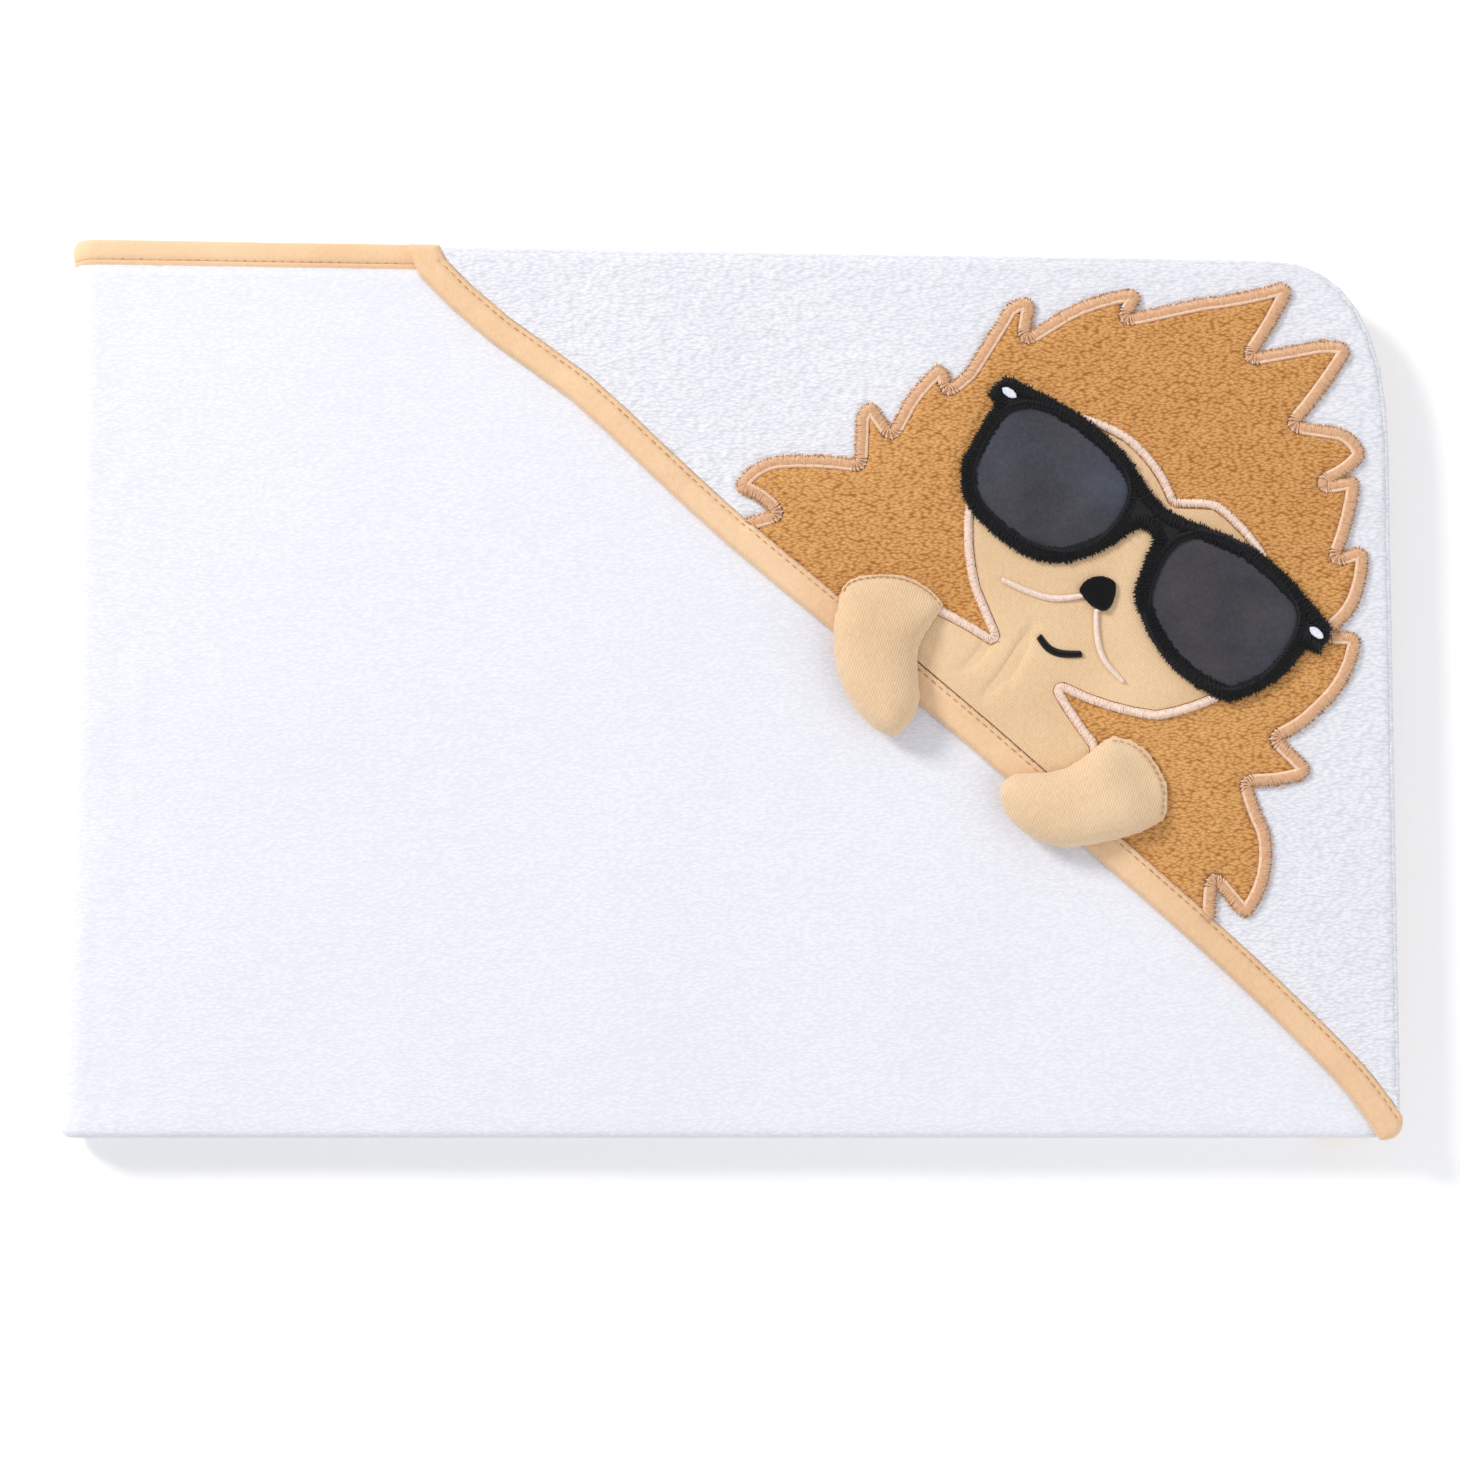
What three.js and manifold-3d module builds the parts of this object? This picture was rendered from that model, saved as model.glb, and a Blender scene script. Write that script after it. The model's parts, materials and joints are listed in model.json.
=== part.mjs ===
// A hooded baby towel, folded: the square towel is folded in three along X, then in half at its left edge.
// Millimetres. X runs along the packet, +Y towards the hood's upper seam, +Z up from the table.
import * as THREE from "three";
import { mergeVertices } from "three/addons/utils/BufferGeometryUtils.js";
import Module from "manifold-3d";

const wasm = await Module();
wasm.setup();

// Driving dimensions of the folded packet.
const packWidth = 419; // from the half fold to the hood's side seam
const packDepth = 284; // from the bottom fold to the top edge, at the half fold
const topFall = 7; // how much lower the top edge lies at the hood's corner
const clothThickness = 2.6; // terry with its loops
const gap = 0.3; // air between two pieces that touch
const hiddenSideInset = 14; // how far the folded-in layers stop short of the hood's side
const hiddenTopInset = 14.5; // and of the top edge
const freeEndInset = 16; // how far the towel's free ends stop short of the bottom fold

// Driving dimensions of the hood and of what is sewn to it.
const hoodTopLeg = 306; // the hood's edge along the top, out to its bound opening
const hoodSideLeg = 290; // and along the side
const cornerAlongTop = 37; // where the hood's round corner leaves the top edge
const cornerAlongSide = 60; // and where it meets the side
const lowerCornerRadius = 6; // the packet's other corners by the hood
const seamWidth = 1.2; // the turned seam that joins hood and towel
const bindingWidth = 9; // jersey tape that wraps the edges
const topBindingWidth = 7; // the part of the tape that shows along the top edge
const hoodBindingRise = 0.8; // how far the hood's tape stands above the terry
const threadWidth = 0.6; // a row of straight stitches
const threadHeight = 0.3;
const stitchInset = 1.6; // from the tape's edge to its row of stitches
const maneThickness = 1.6;
const maneBorderWidth = 3.2; // satin stitch round the mane
const maneBorderHeight = 2;
const faceThickness = 0.8;
const faceBorderWidth = 2.6; // satin stitch round the face
const faceBorderHeight = 1.2;
const frameHeight = 1.6; // satin stitch of the sunglasses' frame
const lensHeight = 1;
const rivetLength = 5;
const rivetWidth = 2.6;
const rivetHeight = 0.5;
const noseHeight = 1.2;
const mouthWidth = 2.2;
const mouthHeight = 1;
const cheekLineWidth = 1.5;
const cheekLineHeight = 0.8;
const pawHeight = 13; // a stuffed paw, from its back to its crown
const pawFabric = 0.8; // jersey of the paw's front and back
const pawTabHeight = 2.8; // the flat sewn edge that holds a paw to the hood

// Heights that follow. Layers are counted from the table: 0 to 2 lie below the half fold, 3 to 5 above it.
const layerPitch = clothThickness + gap;
const layerBottom = (layer) => layer * layerPitch;
const foldMiddle = 3 * layerPitch - gap / 2;
const hoodBottom = layerBottom(6);
const hoodTop = hoodBottom + clothThickness;
const maneBottom = hoodTop + gap;
const faceBottom = maneBottom + maneThickness + gap;
const featureBottom = faceBottom + faceThickness + gap;
const pawBottom = faceBottom + faceBorderHeight + gap;
const tabBottom = faceBottom;
const tabTop = tabBottom + pawTabHeight;

// Places that follow. The hood's artwork is measured from the corner where the top edge and the side meet.
const left = -packWidth / 2;
const right = packWidth / 2;
const bottom = -packDepth / 2;
const top = packDepth / 2;
const topEdgeAt = (x) => top - (topFall * (x - left)) / packWidth;
const outer = layerPitch * 3 - gap; // a half's thickness, and the radius of its turn at the half fold
const turnCentre = left + outer;
const hiddenRight = right - hiddenSideInset;
const hiddenTop = top - hiddenTopInset;
const foldRadius = layerPitch / 2;

// Outlines in the plane of the packet. A row is a corner, and how far the edge that leaves it bows outwards.
const bowSteps = 4;
function bowed(rows, closed = false) {
  const points = [];
  rows.forEach(([x, y, bow = 0], i) => {
    points.push(new THREE.Vector2(right + x, top + y));
    const next = rows[i + 1] ?? (closed ? rows[0] : null);
    if (!next || bow === 0) return;
    const [dx, dy] = [next[0] - x, next[1] - y];
    const length = Math.hypot(dx, dy);
    for (let s = 1; s < bowSteps; s++) {
      const t = s / bowSteps;
      const out = (4 * bow * t * (1 - t)) / length;
      points.push(new THREE.Vector2(right + x + dx * t - dy * out, top + y + dy * t + dx * out));
    }
  });
  return points;
}

// A smooth curve through points measured from the hood's corner.
function smooth(rows, steps) {
  const points = rows.map(([x, y]) => new THREE.Vector2(right + x, top + y));
  return new THREE.SplineCurve(points).getPoints(steps);
}

// Solids: a closed geometry becomes a solid for cutting and joining, and goes back to a mesh at the end.
function solid(geometry) {
  const bare = geometry.index ? geometry.toNonIndexed() : geometry;
  const merged = mergeVertices(
    new THREE.BufferGeometry().setAttribute("position", bare.getAttribute("position")),
    1e-4,
  );
  return new wasm.Manifold(
    new wasm.Mesh({
      numProp: 3,
      vertProperties: merged.attributes.position.array,
      triVerts: new Uint32Array(merged.index.array),
    }),
  );
}

function geometryOf(body) {
  const mesh = body.getMesh();
  const geometry = new THREE.BufferGeometry();
  geometry.setAttribute("position", new THREE.BufferAttribute(new Float32Array(mesh.vertProperties), 3));
  geometry.setIndex(new THREE.BufferAttribute(new Uint32Array(mesh.triVerts), 1));
  geometry.computeVertexNormals();
  return geometry;
}

// An upright plate over an outline, from one height to another.
function plate(points, low, high) {
  const shape = points instanceof THREE.Shape ? points : new THREE.Shape(points);
  const geometry = new THREE.ExtrudeGeometry(shape, {
    depth: high - low,
    bevelEnabled: false,
    curveSegments: 8,
  });
  return solid(geometry.translate(0, 0, low));
}

// A strip of even width along a smooth path, in its plane.
function ribbon(path, width) {
  const heading = (edge) => path[edge + 1].clone().sub(path[edge]).normalize();
  const rim = (side) =>
    path.map((point, i) => {
      const out = heading(Math.min(i, path.length - 2));
      const along = heading(Math.max(i - 1, 0)).add(out).normalize();
      const reach = (side * width) / 2 / along.dot(out);
      return new THREE.Vector2(point.x - along.y * reach, point.y + along.x * reach);
    });
  return new THREE.Shape([...rim(1), ...rim(-1).reverse()]);
}

// A band of even width along a path with sharp corners, rounded at its joints and ends.
const jointSides = 8;
function band(path, width, low, high, closed = false) {
  const count = closed ? path.length : path.length - 1;
  const pieces = [];
  for (let i = 0; i < count; i++) {
    const a = path[i];
    const b = path[(i + 1) % path.length];
    const side = new THREE.Vector2(a.y - b.y, b.x - a.x).setLength(width / 2);
    const corners = [a.clone().sub(side), b.clone().sub(side), b.clone().add(side), a.clone().add(side)];
    pieces.push(plate(corners, low, high));
  }
  for (const point of path) {
    const disc = new THREE.CylinderGeometry(width / 2, width / 2, high - low, jointSides);
    disc.rotateX(Math.PI / 2).translate(point.x, point.y, (low + high) / 2);
    pieces.push(solid(disc));
  }
  return pieces.reduce((whole, piece) => whole.add(piece));
}

function rectangle(xLow, yLow, xHigh, yHigh) {
  const corners = [[xLow, yLow], [xHigh, yLow], [xHigh, yHigh], [xLow, yHigh]];
  return corners.map(([x, y]) => new THREE.Vector2(x, y));
}

// A cutter reaches through every layer, and well past the packet's edges.
const under = -10;
const over = 60;
const past = 200;
const cutPlate = (points) => plate(points, under, over);
const cutRibbon = (path, width) => plate(ribbon(path, width), under, over);
const cutBand = (path, width, closed) => band(path, width, under, over, closed);

const group = new THREE.Group();
const lowerHalf = new THREE.Group();
const upperHalf = new THREE.Group();
const leftPaw = new THREE.Group();
const rightPaw = new THREE.Group();
upperHalf.add(leftPaw, rightPaw);
group.add(lowerHalf, upperHalf);

const fabrics = {
  whiteTerry: { color: 0xeceaf2, roughness: 0.95 },
  peachJersey: { color: 0xf2cda0, roughness: 0.9 },
  paleJersey: { color: 0xecca9f, roughness: 0.9 },
  caramelTerry: { color: 0xd69a55, roughness: 0.95 },
  tanSatin: { color: 0xd9a878, roughness: 0.5 },
  creamSatin: { color: 0xf3e3dc, roughness: 0.5 },
  blackSatin: { color: 0x141317, roughness: 0.55 },
  greySatin: { color: 0x4c4a52, roughness: 0.5 },
  whiteThread: { color: 0xf4f3f6, roughness: 0.4 },
  tanThread: { color: 0xc89a66, roughness: 0.7 },
  fibre: { color: 0xf5f3ee, roughness: 1 },
};

function addPiece(parent, name, body, fabric) {
  const mesh = new THREE.Mesh(geometryOf(body), new THREE.MeshStandardMaterial(fabrics[fabric]));
  mesh.name = name;
  parent.add(mesh);
}

// The towel in section, looking along X: three layers joined by the folds between them.
const foldSteps = 6;
const layerMiddle = (layer) => layerBottom(layer) + clothThickness / 2;

function foldedPath(layers, starts, ends) {
  const path = [];
  layers.forEach((layer, i) => {
    const z = layerMiddle(layer);
    path.push(new THREE.Vector2(starts[i], z), new THREE.Vector2(ends[i], z));
    if (i === layers.length - 1) return;
    const centre = (z + layerMiddle(layers[i + 1])) / 2;
    const outwards = Math.sign(ends[i] - starts[i]);
    const downwards = Math.sign(centre - z);
    for (let s = 1; s < foldSteps; s++) {
      const angle = (Math.PI * s) / foldSteps;
      const y = ends[i] + outwards * foldRadius * Math.sin(angle);
      path.push(new THREE.Vector2(y, centre - downwards * foldRadius * Math.cos(angle)));
    }
  });
  return path;
}

const alongX = new THREE.Matrix4().makeBasis(
  new THREE.Vector3(0, 1, 0),
  new THREE.Vector3(0, 0, 1),
  new THREE.Vector3(1, 0, 0),
);

function foldedCloth(layers, starts, ends, xLow, xHigh) {
  const section = ribbon(foldedPath(layers, starts, ends), clothThickness);
  const geometry = new THREE.ExtrudeGeometry(section, { depth: xHigh - xLow, bevelEnabled: false });
  return solid(geometry.applyMatrix4(alongX).translate(xLow, 0, 0));
}

// At the half fold each layer turns down, or up, to meet its other half: a quarter ring along Y.
const turnSteps = 6;
const alongY = new THREE.Matrix4().makeBasis(
  new THREE.Vector3(1, 0, 0),
  new THREE.Vector3(0, 0, 1),
  new THREE.Vector3(0, -1, 0),
);

function turn(layer, yLow, yHigh) {
  const upper = layer > 2;
  const nest = upper ? layer - 3 : 2 - layer;
  const inner = nest * layerPitch;
  const centreZ = foldMiddle + (upper ? gap / 2 : -gap / 2);
  const sign = upper ? 1 : -1;
  const arc = (radius, from, to) =>
    Array.from({ length: turnSteps + 1 }, (_, s) => {
      const angle = from + ((to - from) * s) / turnSteps;
      const z = centreZ + sign * radius * Math.cos(angle);
      return new THREE.Vector2(turnCentre - radius * Math.sin(angle), z);
    });
  const rim = arc(inner + clothThickness, 0, Math.PI / 2);
  const bore = inner > 0 ? arc(inner, Math.PI / 2, 0) : [new THREE.Vector2(turnCentre, centreZ)];
  const shape = new THREE.Shape([...rim, ...bore]);
  const geometry = new THREE.ExtrudeGeometry(shape, { depth: yHigh - yLow, bevelEnabled: false });
  return solid(geometry.applyMatrix4(alongY).translate(0, yHigh, 0));
}

// The outer edge of the packet's top layer, with the hood's round corner.
const packOutline = new THREE.Shape()
  .moveTo(turnCentre, bottom)
  .lineTo(right - lowerCornerRadius, bottom)
  .quadraticCurveTo(right, bottom, right, bottom + lowerCornerRadius)
  .lineTo(right, topEdgeAt(right) - cornerAlongSide)
  .quadraticCurveTo(right, topEdgeAt(right), right - cornerAlongTop, topEdgeAt(right - cornerAlongTop))
  .lineTo(turnCentre, topEdgeAt(turnCentre));

// The hood's bound opening, from the top edge down to the end of its side.
const hoodOpening = smooth(
  [
    [-307, 2],
    [-303.5, -9],
    [-282, -29],
    [-256.5, -47.5],
    [-231, -71.5],
    [-206, -94.5],
    [-176, -119.5],
    [-130.5, -158],
    [-74.5, -207.5],
    [-49.5, -230],
    [-25, -254],
    [-12.5, -267.5],
    [-3, -281],
    [1, -hoodSideLeg],
  ],
  26,
);
const bindingCut = cutRibbon(hoodOpening, bindingWidth + 2 * gap);

// The turned seam that joins the hood to the towel along its top edge, round corner and side.
const seamStart = new THREE.Vector2(right - hoodTopLeg, topEdgeAt(right - hoodTopLeg));
const seamEnd = new THREE.Vector2(right, Math.max(bottom + lowerCornerRadius, top - hoodSideLeg));
const alongHood = (point) => point.x > seamStart.x && point.y > seamEnd.y;
const seamPath = [seamEnd, ...packOutline.getPoints(8).filter(alongHood), seamStart];
const seamBand = (width) => cutRibbon(seamPath, 2 * width);
const seamCut = seamBand(seamWidth + gap);

// The towel: one square of white terry, in two nodes that meet at the half fold.
const foldReach = foldRadius + clothThickness / 2;
const foldEnd = bottom + foldReach;
const foldTop = hiddenTop - foldReach;
const tapeEnd = bottom + freeEndInset;
const freeEnd = tapeEnd + bindingWidth + gap;
const hiddenClothRight = hiddenRight - bindingWidth - gap;
const topBound = (x) => topEdgeAt(x) - topBindingWidth;
const topClothEdge = (x) => topBound(x) - gap;
const topLayer = layerBottom(5);

const boundStretch = [
  new THREE.Vector2(left - past, topClothEdge(left - past)),
  new THREE.Vector2(seamStart.x, topClothEdge(seamStart.x)),
  new THREE.Vector2(seamStart.x, top + past),
  new THREE.Vector2(left - past, top + past),
];
const topSheet = plate(packOutline, topLayer, topLayer + clothThickness)
  .subtract(cutPlate(boundStretch))
  .subtract(seamCut)
  .subtract(cutPlate(rectangle(left, bottom - past, hiddenClothRight, foldEnd)));
const upperFolds = foldedCloth(
  [5, 4, 3],
  [foldEnd + layerPitch, foldEnd, foldTop],
  [foldEnd, foldTop, freeEnd],
  turnCentre,
  hiddenClothRight,
);
const upperTowel = topSheet
  .add(upperFolds)
  .add(turn(5, foldEnd, topClothEdge(turnCentre)))
  .add(turn(4, foldEnd, foldTop))
  .add(turn(3, freeEnd, foldTop));
addPiece(upperHalf, "towel_upper_half", upperTowel, "whiteTerry");

const lowerTop = hiddenTop - bindingWidth - gap;
const lowerTowel = foldedCloth(
  [0, 1, 2],
  [lowerTop, foldEnd, foldTop],
  [foldEnd, foldTop, freeEnd],
  turnCentre,
  hiddenClothRight,
)
  .add(turn(0, foldEnd, lowerTop))
  .add(turn(1, foldEnd, foldTop))
  .add(turn(2, freeEnd, foldTop));
addPiece(lowerHalf, "towel_lower_half", lowerTowel, "whiteTerry");

// The tape round the towel's edges: along the top edge, down the folded sides and across the free ends.
const strip = plate(packOutline, topLayer, topLayer + clothThickness)
  .intersect(
    cutPlate([
      new THREE.Vector2(left - past, topBound(left - past)),
      new THREE.Vector2(seamStart.x - gap, topBound(seamStart.x - gap)),
      new THREE.Vector2(seamStart.x - gap, top + past),
      new THREE.Vector2(left - past, top + past),
    ]),
  )
  .subtract(seamCut)
  .add(turn(5, topBound(turnCentre), topEdgeAt(turnCentre)));
addPiece(upperHalf, "binding_top_upper", strip, "peachJersey");

const sideTape = (layers, starts, ends) =>
  foldedCloth(layers, starts, ends, hiddenRight - bindingWidth, hiddenRight);
addPiece(
  upperHalf,
  "binding_side_upper",
  sideTape([4, 3], [foldEnd, foldTop], [foldTop, freeEnd]),
  "peachJersey",
);
addPiece(
  lowerHalf,
  "binding_side_lower",
  sideTape([0, 1, 2], [lowerTop, foldEnd, foldTop], [foldEnd, foldTop, freeEnd]),
  "peachJersey",
);

function levelTape(layer, yLow, yHigh) {
  const flat = rectangle(turnCentre, yLow, hiddenRight, yHigh);
  const z = layerBottom(layer);
  return plate(flat, z, z + clothThickness).add(turn(layer, yLow, yHigh));
}
addPiece(upperHalf, "binding_end_upper", levelTape(3, tapeEnd, tapeEnd + bindingWidth), "peachJersey");
addPiece(lowerHalf, "binding_end_lower", levelTape(2, tapeEnd, tapeEnd + bindingWidth), "peachJersey");
addPiece(lowerHalf, "binding_top_lower", levelTape(0, hiddenTop - bindingWidth, hiddenTop), "peachJersey");

// A row of straight stitches through the tape, as one raised thread.
const stripStitchLow = layerBottom(6);
const stripStitch = [turnCentre, seamStart.x - bindingWidth].map(
  (x) => new THREE.Vector2(x, topBound(x) + stitchInset),
);
addPiece(
  upperHalf,
  "edge_binding_stitching",
  plate(ribbon(stripStitch, threadWidth), stripStitchLow, stripStitchLow + threadHeight),
  "tanThread",
);

// The hood: a terry panel on the towel's corner, sewn on two sides and bound with tape along its opening.
const hoodCorner = [
  ...hoodOpening,
  new THREE.Vector2(right + past, bottom),
  new THREE.Vector2(right + past, top + past),
  new THREE.Vector2(seamStart.x, top + past),
];
const hoodPanel = plate(packOutline, hoodBottom, hoodTop)
  .intersect(cutPlate(hoodCorner))
  .subtract(bindingCut)
  .subtract(seamCut);
addPiece(upperHalf, "hood_panel", hoodPanel, "whiteTerry");

const hoodTape = plate(ribbon(hoodOpening, bindingWidth), hoodBottom, hoodTop + hoodBindingRise).intersect(
  cutPlate(packOutline),
);
addPiece(upperHalf, "hood_binding", hoodTape, "peachJersey");

const hoodSeam = plate(packOutline, topLayer, hoodTop).intersect(seamBand(seamWidth)).subtract(bindingCut);
addPiece(upperHalf, "hood_seam", hoodSeam, "whiteTerry");

const stitchShift = bindingWidth / 2 - stitchInset;
const hoodStitchPath = hoodOpening.slice(2, -2).map((point, i) => {
  const along = hoodOpening[i + 3].clone().sub(hoodOpening[i + 1]).normalize();
  return new THREE.Vector2(point.x - along.y * stitchShift, point.y + along.x * stitchShift);
});
const hoodStitchLow = hoodTop + hoodBindingRise + gap;
addPiece(
  upperHalf,
  "hood_binding_stitching",
  plate(ribbon(hoodStitchPath, threadWidth), hoodStitchLow, hoodStitchLow + threadHeight),
  "tanThread",
);

// The paws' outlines, each from one end of its sewn edge round to the other and back along that edge.
const paws = [
  {
    name: "paw_left",
    parent: leftPaw,
    seam: [[-175, -113], [-141, -117.5]],
    rim: [
      [-141, -117.5], [-146, -124.5], [-150, -133], [-149.5, -148.5], [-154.5, -157.5], [-159, -159],
      [-165, -156], [-172, -147.5], [-176, -137.5], [-177, -125.5], [-175, -113], [-171, -108.5],
      [-162, -107], [-153.5, -108], [-146, -112], [-141, -117.5],
    ],
    centre: [-161.5, -134],
    length: 28,
    width: 17.5,
    turned: Math.PI / 2,
  },
  {
    name: "paw_right",
    parent: rightPaw,
    seam: [[-90, -158.5], [-73, -185.5]],
    rim: [
      [-73, -185.5], [-77, -187.5], [-86.5, -191], [-104.5, -194], [-115, -191], [-122.5, -184.5],
      [-125, -178.5], [-124.5, -174], [-120.5, -170.5], [-107, -169.5], [-99, -165.5], [-93.5, -160.5],
      [-90, -158.5], [-82, -160.5], [-76, -166.5], [-72, -175.5], [-73, -185.5],
    ],
    centre: [-99, -178],
    length: 29,
    width: 17.5,
    turned: 0.16,
  },
].map((paw) => ({
  ...paw,
  outline: smooth(paw.rim, 36).slice(0, -1),
  chord: bowed(paw.seam),
  middle: bowed([paw.centre])[0],
}));

// The plane beyond a paw's sewn chord: side 1 holds the sewn edge, side -1 the free flap.
const distanceBeyond = (point, [a, b]) =>
  ((b.x - a.x) * (point.y - a.y) - (b.y - a.y) * (point.x - a.x)) / a.distanceTo(b);
function beyondChord([a, b], side, margin) {
  const along = b.clone().sub(a).normalize();
  const across = new THREE.Vector2(-along.y, along.x).multiplyScalar(side);
  const start = a.clone().addScaledVector(along, -past).addScaledVector(across, margin);
  const end = b.clone().addScaledVector(along, past).addScaledVector(across, margin);
  const farEnd = end.clone().addScaledVector(across, past);
  const farStart = start.clone().addScaledVector(across, past);
  return side > 0 ? [start, end, farEnd, farStart] : [farStart, farEnd, end, start];
}
const tabs = paws.map((paw) =>
  plate(paw.outline, tabBottom, tabTop).intersect(cutPlate(beyondChord(paw.chord, 1, gap / 2))),
);
const tabCuts = paws.map((paw) =>
  cutPlate(paw.outline)
    .intersect(cutPlate(beyondChord(paw.chord, 1, -gap)))
    .add(cutBand(paw.outline, 2 * gap, true).intersect(cutPlate(beyondChord(paw.chord, 1, -gap)))),
);

// The mane: caramel terry, its raw edge held by a satin border. Rows go from valley to blunt tip to valley.
const maneEdge = bowed([
  [-208.5, -91.5], [-195.5, -88, -1],
  [-206, -81], [-206.5, -78.5, 1.5], [-194.5, -70.5, 0.8], [-169, -71.5],
  [-168.5, -58, 0.6], [-165, -53.5, 0.4], [-162.5, -55], [-158, -61.5],
  [-153.5, -53, 0.5], [-143.5, -41.5, 0.8], [-140, -44.5], [-139.5, -47.5],
  [-134, -43], [-123, -25.5, 1.2], [-116.5, -20, 1], [-113, -22], [-114.5, -31],
  [-102.5, -23.5, 1], [-81.5, -17, 0.8], [-79.5, -20], [-82.5, -25],
  [-59.5, -20, -0.6], [-34, -15, 0.9], [-31.5, -18, 0.5], [-43, -37.5],
  [-24.5, -34, 0.5], [-15, -34, 0.9], [-13.5, -38, 0.5], [-29.5, -59.5],
  [-16, -61.5, 0.8], [-9.5, -67.5, 0.6], [-10, -71.5, 0.8], [-20.5, -78.5],
  [-12.5, -77, 0.5], [-11, -79.5, 0.8], [-17, -101.5],
  [-11, -99.5, 0.6], [-8.5, -102.5, 0.6], [-11.5, -116, 1], [-20.5, -126],
  [-13, -126.5, 0.6], [-11.5, -130, 2.2], [-24, -151, 0.8], [-36.5, -159.5],
  [-28, -168, 0.7], [-30, -172, 0.6], [-46, -174, -0.4],
  [-41, -188, 0.8], [-41, -202, 0.8], [-47, -214.5, 0.6], [-50.5, -213.5], [-57.5, -205], [-58.5, -218],
]);
const maneBand = (width) => cutBand(maneEdge, 2 * width);
const mane = plate(maneEdge, maneBottom, maneBottom + maneThickness)
  .subtract(maneBand(maneBorderWidth + gap))
  .subtract(bindingCut);
addPiece(upperHalf, "mane_applique", mane, "caramelTerry");
const maneBorder = plate(maneEdge, maneBottom, maneBottom + maneBorderHeight)
  .intersect(maneBand(maneBorderWidth))
  .subtract(bindingCut);
addPiece(upperHalf, "mane_border", maneBorder, "tanSatin");

// The sunglasses: a satin frame round two satin lenses, with a rivet on each lug.
const frameEdge = bowed(
  [
    [-127.5, -51, 0.5], [-122, -45.5, 0.5], [-117, -47.5, 0.5], [-98, -58, 0.9], [-82, -73.5, -0.6],
    [-73, -86.5, -0.4], [-65, -91, 0.3], [-46, -99, 1.3], [-27.5, -116.5, 0.3], [-20.5, -125.5],
    [-24.5, -133], [-28.5, -131], [-34, -138, 1.4], [-53, -148, 1.2], [-71, -136.5, 0.9], [-81, -118.5, 1],
    [-80.5, -109, 0.2], [-76, -98, -0.8], [-77, -94.5, -0.7], [-81, -93.5, -0.4], [-88, -98, 0.5],
    [-101.5, -103.5, 0.8], [-112.5, -103, 0.8], [-122.5, -97.5, 0.7], [-133, -87.5, 1.1],
    [-136, -77.5, 1], [-133.5, -68, 0.4], [-125, -54, -0.3],
  ],
  true,
);
const lensSteps = 30;
const lenses = [
  [
    [-115, -55], [-104.5, -58], [-92.5, -67], [-85, -76], [-84.5, -85.5], [-92.5, -96],
    [-104, -100], [-117.5, -96], [-128.5, -86.5], [-132, -77], [-128, -65.5], [-121.5, -57], [-115, -55],
  ],
  [
    [-61.5, -96], [-51, -99.5], [-38.5, -110], [-31.5, -119], [-33, -128], [-41.5, -139],
    [-51.5, -143.5], [-61, -140.5], [-72, -131], [-77, -120], [-75.5, -110], [-69.5, -99.5], [-61.5, -96],
  ],
].map((rows) => smooth(rows, lensSteps).slice(0, -1));
const lensCuts = lenses.map(cutPlate);
const frame = lensCuts.reduce(
  (body, cut) => body.subtract(cut),
  plate(frameEdge, featureBottom, featureBottom + frameHeight),
);
const frameCut = cutPlate(frameEdge).add(cutBand(frameEdge, 2 * gap, true));
addPiece(upperHalf, "glasses_frame", frame, "blackSatin");
["lens_left", "lens_right"].forEach((name, i) => {
  const lens = plate(lenses[i], featureBottom, featureBottom + lensHeight);
  addPiece(upperHalf, name, lens.subtract(cutBand(lenses[i], 2 * gap, true)), "greySatin");
});
[
  ["glasses_rivet_left", [-121, -50.5], -0.58],
  ["glasses_rivet_right", [-25.5, -126.5], -0.7],
].forEach(([name, [x, y], angle]) => {
  const oval = new THREE.Shape().absellipse(
    right + x, top + y, rivetLength / 2, rivetWidth / 2, 0, 2 * Math.PI, false, angle,
  );
  const low = featureBottom + frameHeight + gap;
  addPiece(upperHalf, name, plate(oval.getPoints(6).slice(0, -1), low, low + rivetHeight), "whiteThread");
});

// The face and neck: pale jersey over the mane, its edge held by satin where the glasses don't cover it.
const faceLeft = bowed([
  [-170, -126.5], [-150.5, -114.5, 0.6], [-127, -127], [-133, -112.5, 1.5], [-134.5, -84],
]);
const faceBrow = bowed([
  [-101, -56, 0.8], [-83, -63.5, 1.8], [-68.5, -84], [-56, -84.5, 1.8], [-38, -105.5],
]);
const faceRight = bowed([
  [-51, -145, 1.2], [-75.5, -153.5, 1.4], [-105, -144.5, -0.3], [-94, -161, 0.6], [-92, -191],
]);
const faceEdge = [...faceLeft, ...faceBrow, ...bowed([[-34, -128]]), ...faceRight];
const faceBand = (line, width) => cutBand(line, 2 * width);
const faceLines = { left: faceLeft, brow: faceBrow, right: faceRight };
const faceFabric = Object.values(faceLines).reduce(
  (body, line) => body.subtract(faceBand(line, faceBorderWidth + gap)),
  plate(faceEdge, faceBottom, faceBottom + faceThickness).subtract(bindingCut),
);
addPiece(upperHalf, "face_applique", faceFabric, "paleJersey");
for (const [side, line] of Object.entries(faceLines)) {
  const border = plate(faceEdge, faceBottom, faceBottom + faceBorderHeight)
    .intersect(faceBand(line, faceBorderWidth))
    .subtract(frameCut)
    .subtract(bindingCut)
    .subtract(tabCuts[0])
    .subtract(tabCuts[1]);
  addPiece(upperHalf, `face_border_${side}`, border, "creamSatin");
}

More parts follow.
